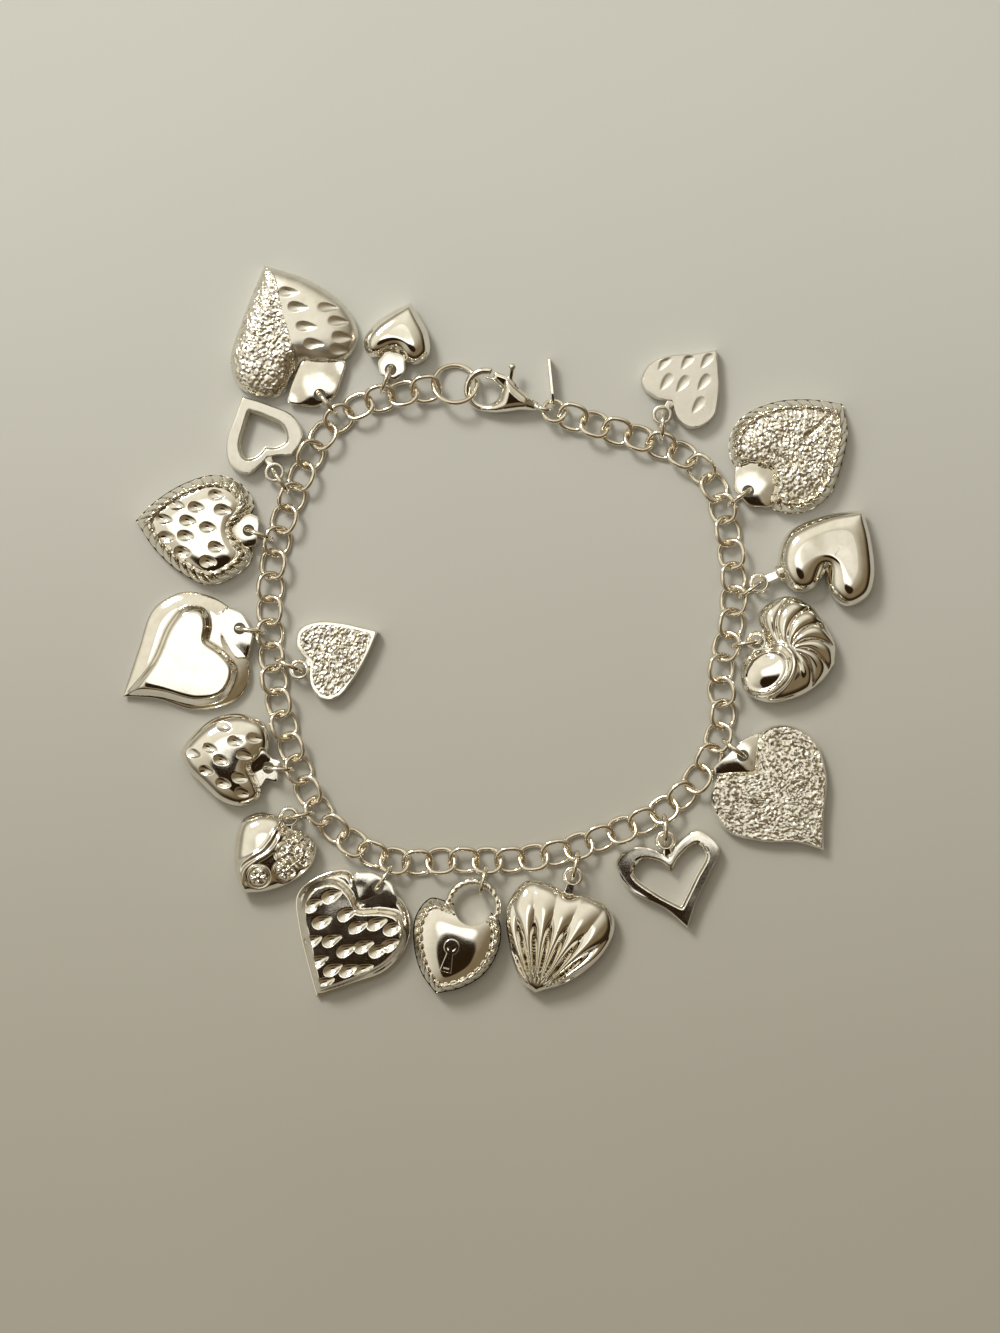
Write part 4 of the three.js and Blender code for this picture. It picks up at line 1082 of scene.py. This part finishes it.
def chain_piece():
    half = (link_pitch + LINK_WIRE - LINK_BITE) / 2
    side = (LINK_WIDTH - LINK_WIRE) / 2
    groups = []
    for parity in (0, 1):
        points, faces = [], []
        for spot in links[parity::2]:
            link = hoop("link", half, side, LINK_WIRE, 40, 12, fullness=LINK_FULLNESS)
            lateral = Matrix.Rotation(spot["roll"], 3, spot["along"]) @ spot["out"]
            basis = Matrix((spot["along"], lateral, spot["along"].cross(lateral))).transposed().to_4x4()
            basis.translation = spot["centre"]
            place(link, basis)
            start = len(points)
            points += [v.co / MM for v in link.data.vertices]
            faces += [tuple(start + k for k in p.vertices) for p in link.data.polygons]
            bpy.data.objects.remove(link)
        groups.append(make("links", np.array([tuple(p) for p in points]), faces))
    obj = combine(groups[0], groups[1], "UNION")
    obj.name = "chain_look"
    return obj


def laid(obj, centre, heading, tilt):
    matrix = spin(heading, "Z") @ spin(-tilt, "X")
    matrix.translation = Vector(centre)
    return place(obj, matrix)


def tail_ring():
    radius = TAIL_RING_RADIUS
    obj = hoop("tail_ring_look", radius, radius, TAIL_RING_WIRE, 64, 16, seam=2, seam_at=250)
    return laid(obj, (*tail_centre, CLASP_LEVEL), CLASP_HEADING, TAIL_RING_TILT)


def end_ring():
    obj = hoop("end_ring_look", END_RING_RADIUS, END_RING_RADIUS, END_RING_WIRE, 96, 16)
    return laid(obj, (*end_centre, CLASP_LEVEL + END_RING_RISE), END_RING_AXIS, END_RING_TILT)


def hang_place(charm):
    """The link that a charm hangs from, and the level way from it to the charm."""
    inside = charm.get("inside", False)
    wanted = 1 if inside else 0
    at = (charm["station"] * len(links) - 0.5 - wanted) / 2
    spot = links[min(len(links) - 1, max(0, 2 * math.floor(at + 0.5) + wanted))]
    out = spot["out"] * (-1 if inside else 1)
    return spot, Matrix.Rotation(math.radians(charm["swing"]), 3, "Z") @ out


def jump_ring(name, charm):
    spot, way = hang_place(charm)
    obj = hoop("ring_look_" + name, JUMP_RING_RADIUS, JUMP_RING_RADIUS, JUMP_RING_WIRE, 64, 14,
               seam=RING_SEAM, seam_at=128)
    up = Vector((0, 0, 1))
    matrix = Matrix((way, up, way.cross(up))).transposed().to_4x4()
    centre = spot["centre"] + way * JUMP_RING_REACH
    centre.z = JUMP_RING_RADIUS + JUMP_RING_WIRE / 2 + (spot["centre"].z - rest_level) / 2
    matrix.translation = centre
    return place(obj, matrix)


# Clasp and tag


def clasp_matrix():
    matrix = spin(CLASP_HEADING, "Z") @ spin(CLASP_ROLL, "X")
    matrix.translation = Vector((*eye_centre, CLASP_LEVEL))
    return matrix


def rounded_cast(obj, voxel, rounds):
    """Remeshes a rough form and smooths it as a cast piece."""
    remesh = obj.modifiers.new("remesh", "REMESH")
    remesh.mode = "VOXEL"
    remesh.voxel_size = voxel * MM
    if rounds:
        soften = obj.modifiers.new("soften", "SMOOTH")
        soften.factor = 0.5
        soften.iterations = rounds
    apply_modifiers(obj)


def points_of(obj):
    return np.array([vertex.co for vertex in obj.data.vertices]) / MM


def crown_share(spots, outline, half_width, thinnest):
    """How much of its thickness a plate keeps at each point, less toward its outline."""
    away = line_distance(spots[:, 0], spots[:, 1], outline + outline[:1])
    return np.clip(1 - (1 - np.clip(away / half_width, 0, 1)) ** 2, thinnest, 1) ** 0.5


def clasp_body():
    outer = HOOK_BORE + HOOK_WIDTH + HOOK_FULLNESS
    outline = [(-0.7, 0.5), (-2.2, 1.0), (-3.7, 1.7), (-5.2, 2.5), (-5.9, 2.75), (-6.05, 1.9), (-6.1, 1.2)]
    outline += arc(HOOK_CENTRE, HOOK_BORE, -20, HOOK_TIP_ANGLE - 360, 48)
    outline += arc(HOOK_CENTRE, outer, HOOK_TIP_ANGLE, 285, 44)
    outline += [(-5.9, -2.25), (-4.5, -1.75), (-3.0, -1.1), (-0.7, -0.5)]
    body = slab("clasp_body_look", outline, -CLASP_THICKNESS / 2, CLASP_THICKNESS / 2)
    rounded_cast(body, 0.09, 0)
    spots = points_of(body)
    back = -spots[:, 0]
    share = np.clip((back - THINNING_FROM) / (-HOOK_CENTRE[0] - THINNING_FROM), 0, 1)
    half_width = BODY_HALF * (1 - share) + (HOOK_WIDTH + HOOK_FULLNESS) / 2 * share
    spots[:, 2] *= (1 - (1 - HOOK_THINNING) * share) * np.clip(back / BODY_TAPER, 0.5, 1)
    spots[:, 2] *= crown_share(spots, outline, half_width, 0.06)
    body.data.vertices.foreach_set("co", (spots * MM).ravel())
    eye = hoop("eye", EYE_RADIUS, EYE_RADIUS, EYE_WIRE, 48, 14)
    eye.data.transform(spin(90, "X"))
    combine(body, eye, "UNION")
    rounded_cast(body, 0.085, 8)
    low, high = -SLOT_HEIGHT / 2, SLOT_HEIGHT / 2
    (x0, x1), (y0, y1) = SLOT_X, SLOT_Y
    combine(body, slab("slot", [(x0, y0), (x1, y0), (x1, y1), (x0, y1)], low, high), "DIFFERENCE")
    combine(body, slab("pin", circle(PIVOT, PIN_RADIUS, 30), low - 0.3, high + 0.3), "UNION")
    return place(body, clasp_matrix())


def clasp_lever():
    px, py = PIVOT
    reach = HOOK_CENTRE[0] - px
    outline = arc(PIVOT, LEVER_HUB, -125, 62, 24)
    outline += [
        (px - 0.3, py + 1.3), (px + reach / 3, py + 1.45), (px + reach * 0.82, py + 1.55),
        (px + reach * 0.85, py + 0.72), (px + reach * 1.11, py + 0.68), (px + reach * 1.11, py + 0.25),
        (px + reach * 0.67, py + 0.2), (px + reach / 3, py - 0.4),
    ]
    lever = slab("clasp_lever_look", outline, -LEVER_THICKNESS / 2, LEVER_THICKNESS / 2)
    rounded_cast(lever, 0.07, 0)
    spots = points_of(lever)
    spots[:, 2] *= crown_share(spots, outline, 0.6, 0.16)
    lever.data.vertices.foreach_set("co", (spots * MM).ravel())
    foot, head = Vector((px - 0.2, py + 1.0)), Vector(KNOB_AT)
    side = (head - foot).orthogonal().normalized() * 0.3
    stem = [foot - side, head - side, head + side, foot + side]
    combine(lever, slab("stem", [tuple(p) for p in stem], -0.3, 0.3, 0.12), "UNION")
    knob_rings = []
    for lift in np.linspace(-0.98, 0.98, 13):
        radius = KNOB_RADIUS * math.sqrt(1 - lift * lift)
        knob_rings.append(at_level(circle(KNOB_AT, radius, 24), lift * KNOB_RADIUS))
    knob = disc_stack("knob", knob_rings, (*KNOB_AT, -KNOB_RADIUS), (*KNOB_AT, KNOB_RADIUS))
    combine(lever, knob, "UNION")
    rounded_cast(lever, 0.06, 4)
    hole = slab("hole", arc(PIVOT, PIN_RADIUS + PIN_CLEARANCE - 0.03, 0, 352, 43), -2, 2)
    combine(lever, hole, "DIFFERENCE")
    return place(lever, clasp_matrix())


def tag():
    off = math.radians(TAG_HEADING - CLASP_HEADING)
    tilt = math.radians(TAIL_RING_TILT)
    drop = math.sin(off) * math.sin(tilt) * TAIL_RING_RADIUS
    reach = TAIL_RING_RADIUS * math.hypot(math.cos(off), math.sin(off) * math.cos(tilt))
    inner = TAG_HOLE + TAG_RIM
    half = TAG_HEIGHT / 2
    end = TAG_LENGTH - inner
    outline = arc((0, 0), inner, 110, 250, 14)
    outline += [(0.9, -half), (end - 0.3, -half), (end, -half + 0.3)]
    outline += [(end, half - 0.3), (end - 0.3, half), (0.9, half)]
    obj = slab("tag_look", outline, -TAG_THICKNESS / 2, TAG_THICKNESS / 2, 0.08)
    drill(obj, (0, 0), TAG_HOLE)
    matrix = spin(TAG_HEADING, "Z") @ Matrix.Translation((reach, 0, CLASP_LEVEL - drop)) @ spin(90, "X")
    matrix.translation = matrix.translation + Vector((*tail_centre, 0))
    return place(obj, matrix)


# Assembly


def dress(obj, node, body="bracelet"):
    """Puts a finished piece in the place of its node."""
    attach(obj, body)
    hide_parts(node)


def wire_piece(obj, node, degrees=40, finish="wire", body="bracelet"):
    """Finishes a piece that isn't a charm, and puts it in place."""
    obj.data.materials.clear()
    obj.data.materials.append(finishes[finish])
    obj.data.polygons.foreach_set("material_index", np.zeros(len(obj.data.polygons), np.int32))
    smooth(obj, degrees)
    dress(obj, node, body)


def build_bracelet():
    wire_piece(chain_piece(), "chain")
    wire_piece(end_ring(), "end_ring")
    wire_piece(tail_ring(), "tail_ring")
    wire_piece(clasp_body(), "clasp_body", 50, "polished")
    wire_piece(clasp_lever(), "clasp_lever", 50, "polished", "clasp_lever")
    wire_piece(tag(), "tag", 40, "polished")
    for name, charm in CHARMS.items():
        wire_piece(jump_ring(name, charm), "ring_" + name)
        spot, way = hang_place(charm)
        heading = math.atan2(way.y, way.x) + math.radians(charm["turn"] - 90)
        matrix = Matrix.Rotation(heading, 4, "Z")
        matrix.translation = ((spot["centre"] + way * HOLE_REACH).to_2d()).to_3d()
        dress(place(charm_piece(name, charm), matrix), "charm_" + name)


# Floor, light and camera

PHOTO_WIDTH, PHOTO_HEIGHT = 1000, 1333
MM_PER_PIXEL = 2 / 15
PHOTO_ORIGIN = (500.5, 630.5)
CAMERA_HEIGHT = 400
# Painted light: the floor is paler on the far side and darker on the near side, standing in for the light
# falling off
FLOOR_LIT_FAR = (0.62, 0.64, 0.63)
FLOOR_SHADED_NEAR = (0.435, 0.42, 0.38)
ROOM_FAR = (0.92, 0.87, 0.74)
ROOM_NEAR = (0.20, 0.15, 0.085)
WALL_FAR = (0.34, 0.31, 0.24)
WALL_NEAR = (0.03, 0.018, 0.008)
CEILING = (1.5, 1.46, 1.34)
DARK_SHAPE = (0.022, 0.012, 0.005)
ROOM_LEAN = (-0.6, 0.8, 0)
CEILING_AT = (-0.02, 0.06)
CEILING_HALF = (0.19, 0.14)
DARK_AT = (-0.01, -0.3)
DARK_HALF = (0.27, 0.268)
WINDOW_AT = (-0.36, 0.5, 0.55)
WINDOW_SIZE = 0.22
WINDOW_POWER = 4.0
WINDOW_COLOUR = (1.0, 0.95, 0.86)


def floor():
    size = 2.0
    mesh = bpy.data.meshes.new("floor")
    corners = [(-size, -size, 0), (size, -size, 0), (size, size, 0), (-size, size, 0)]
    mesh.from_pydata(corners, [], [(0, 1, 2, 3)])
    obj = added("floor", mesh)
    obj.location.z = -0.00002
    material, tree, shader, coords = new_material("table")
    tone = ramp(tree, noise(tree, coords, 14, 3), [(0.3, (0.97, 0.97, 0.97)), (0.7, WHITE)])
    split = add(tree, "SeparateXYZ", {"Vector": coords.outputs["Object"]})
    # Painted light and shade: the floor colour runs from the shaded near side to the lit far side
    shade = ramp(tree, between(tree, split.outputs["Y"], -0.09, 0.09), [(0.0, FLOOR_SHADED_NEAR), (1.0, FLOOR_LIT_FAR)])
    feed(tree, shader["Base Color"], blend(tree, 1.0, shade, tone, "MULTIPLY"))
    feed(tree, shader["Roughness"], 0.7)
    mesh.materials.append(material)


def window():
    data = bpy.data.lights.new("window", "AREA")
    data.shape = "RECTANGLE"
    data.size = data.size_y = WINDOW_SIZE
    data.energy = WINDOW_POWER
    data.color = WINDOW_COLOUR
    obj = added("window", data)
    obj.location = WINDOW_AT
    obj.rotation_euler = (-Vector(WINDOW_AT)).to_track_quat("-Z", "Y").to_euler()


def blot(tree, way, centre, half):
    """How far a direction lies from the middle of an oval patch of the room, 1 at its edge."""
    at = (-centre[0] / half[0], -centre[1] / half[1], 0)
    mapping = add(tree, "Mapping", {"Location": at, "Scale": (1 / half[0], 1 / half[1], 0), "Vector": way})
    return vector_math(tree, "LENGTH", mapping.outputs["Vector"])


def lights():
    """A warm room: a bright ceiling, pale walls on the far left and a dark shape above the near side."""
    world = bpy.data.worlds.new("room")
    bpy.context.scene.world = world
    world.use_nodes = True
    tree = world.node_tree
    way = tree.nodes.new("ShaderNodeTexCoord").outputs["Generated"]
    far = between(tree, vector_math(tree, "DOT_PRODUCT", way, ROOM_LEAN), -0.5, 0.45)
    room = blend(tree, far, ROOM_NEAR, ROOM_FAR)
    wall = blend(tree, far, WALL_NEAR, WALL_FAR)
    height = add(tree, "SeparateXYZ", {"Vector": way}).outputs["Z"]
    colour = blend(tree, between(tree, height, 0.6, 0.25), room, wall)
    ceiling = between(tree, blot(tree, way, CEILING_AT, CEILING_HALF), 1.3, 0.7)
    colour = blend(tree, ceiling, colour, CEILING)
    shape = between(tree, blot(tree, way, DARK_AT, DARK_HALF), 1.04, 0.93)
    colour = blend(tree, shape, colour, DARK_SHAPE)
    feed(tree, tree.nodes["Background"].inputs["Color"], colour)
    window()


def camera():
    data = bpy.data.cameras.new("camera")
    obj = added("camera", data)
    x = (PHOTO_WIDTH / 2 - PHOTO_ORIGIN[0]) * MM_PER_PIXEL + shift.x
    y = (PHOTO_ORIGIN[1] - PHOTO_HEIGHT / 2) * MM_PER_PIXEL + shift.y
    obj.location = (x * MM, y * MM, CAMERA_HEIGHT * MM)
    data.sensor_fit = "HORIZONTAL"
    data.sensor_width = 36
    data.lens = 36 * CAMERA_HEIGHT / (PHOTO_WIDTH * MM_PER_PIXEL)
    data.clip_start = 0.01
    bpy.context.scene.camera = obj


build_bracelet()
floor()
lights()
camera()
bpy.context.scene.view_settings.view_transform = "Standard"
bpy.context.view_layer.update()
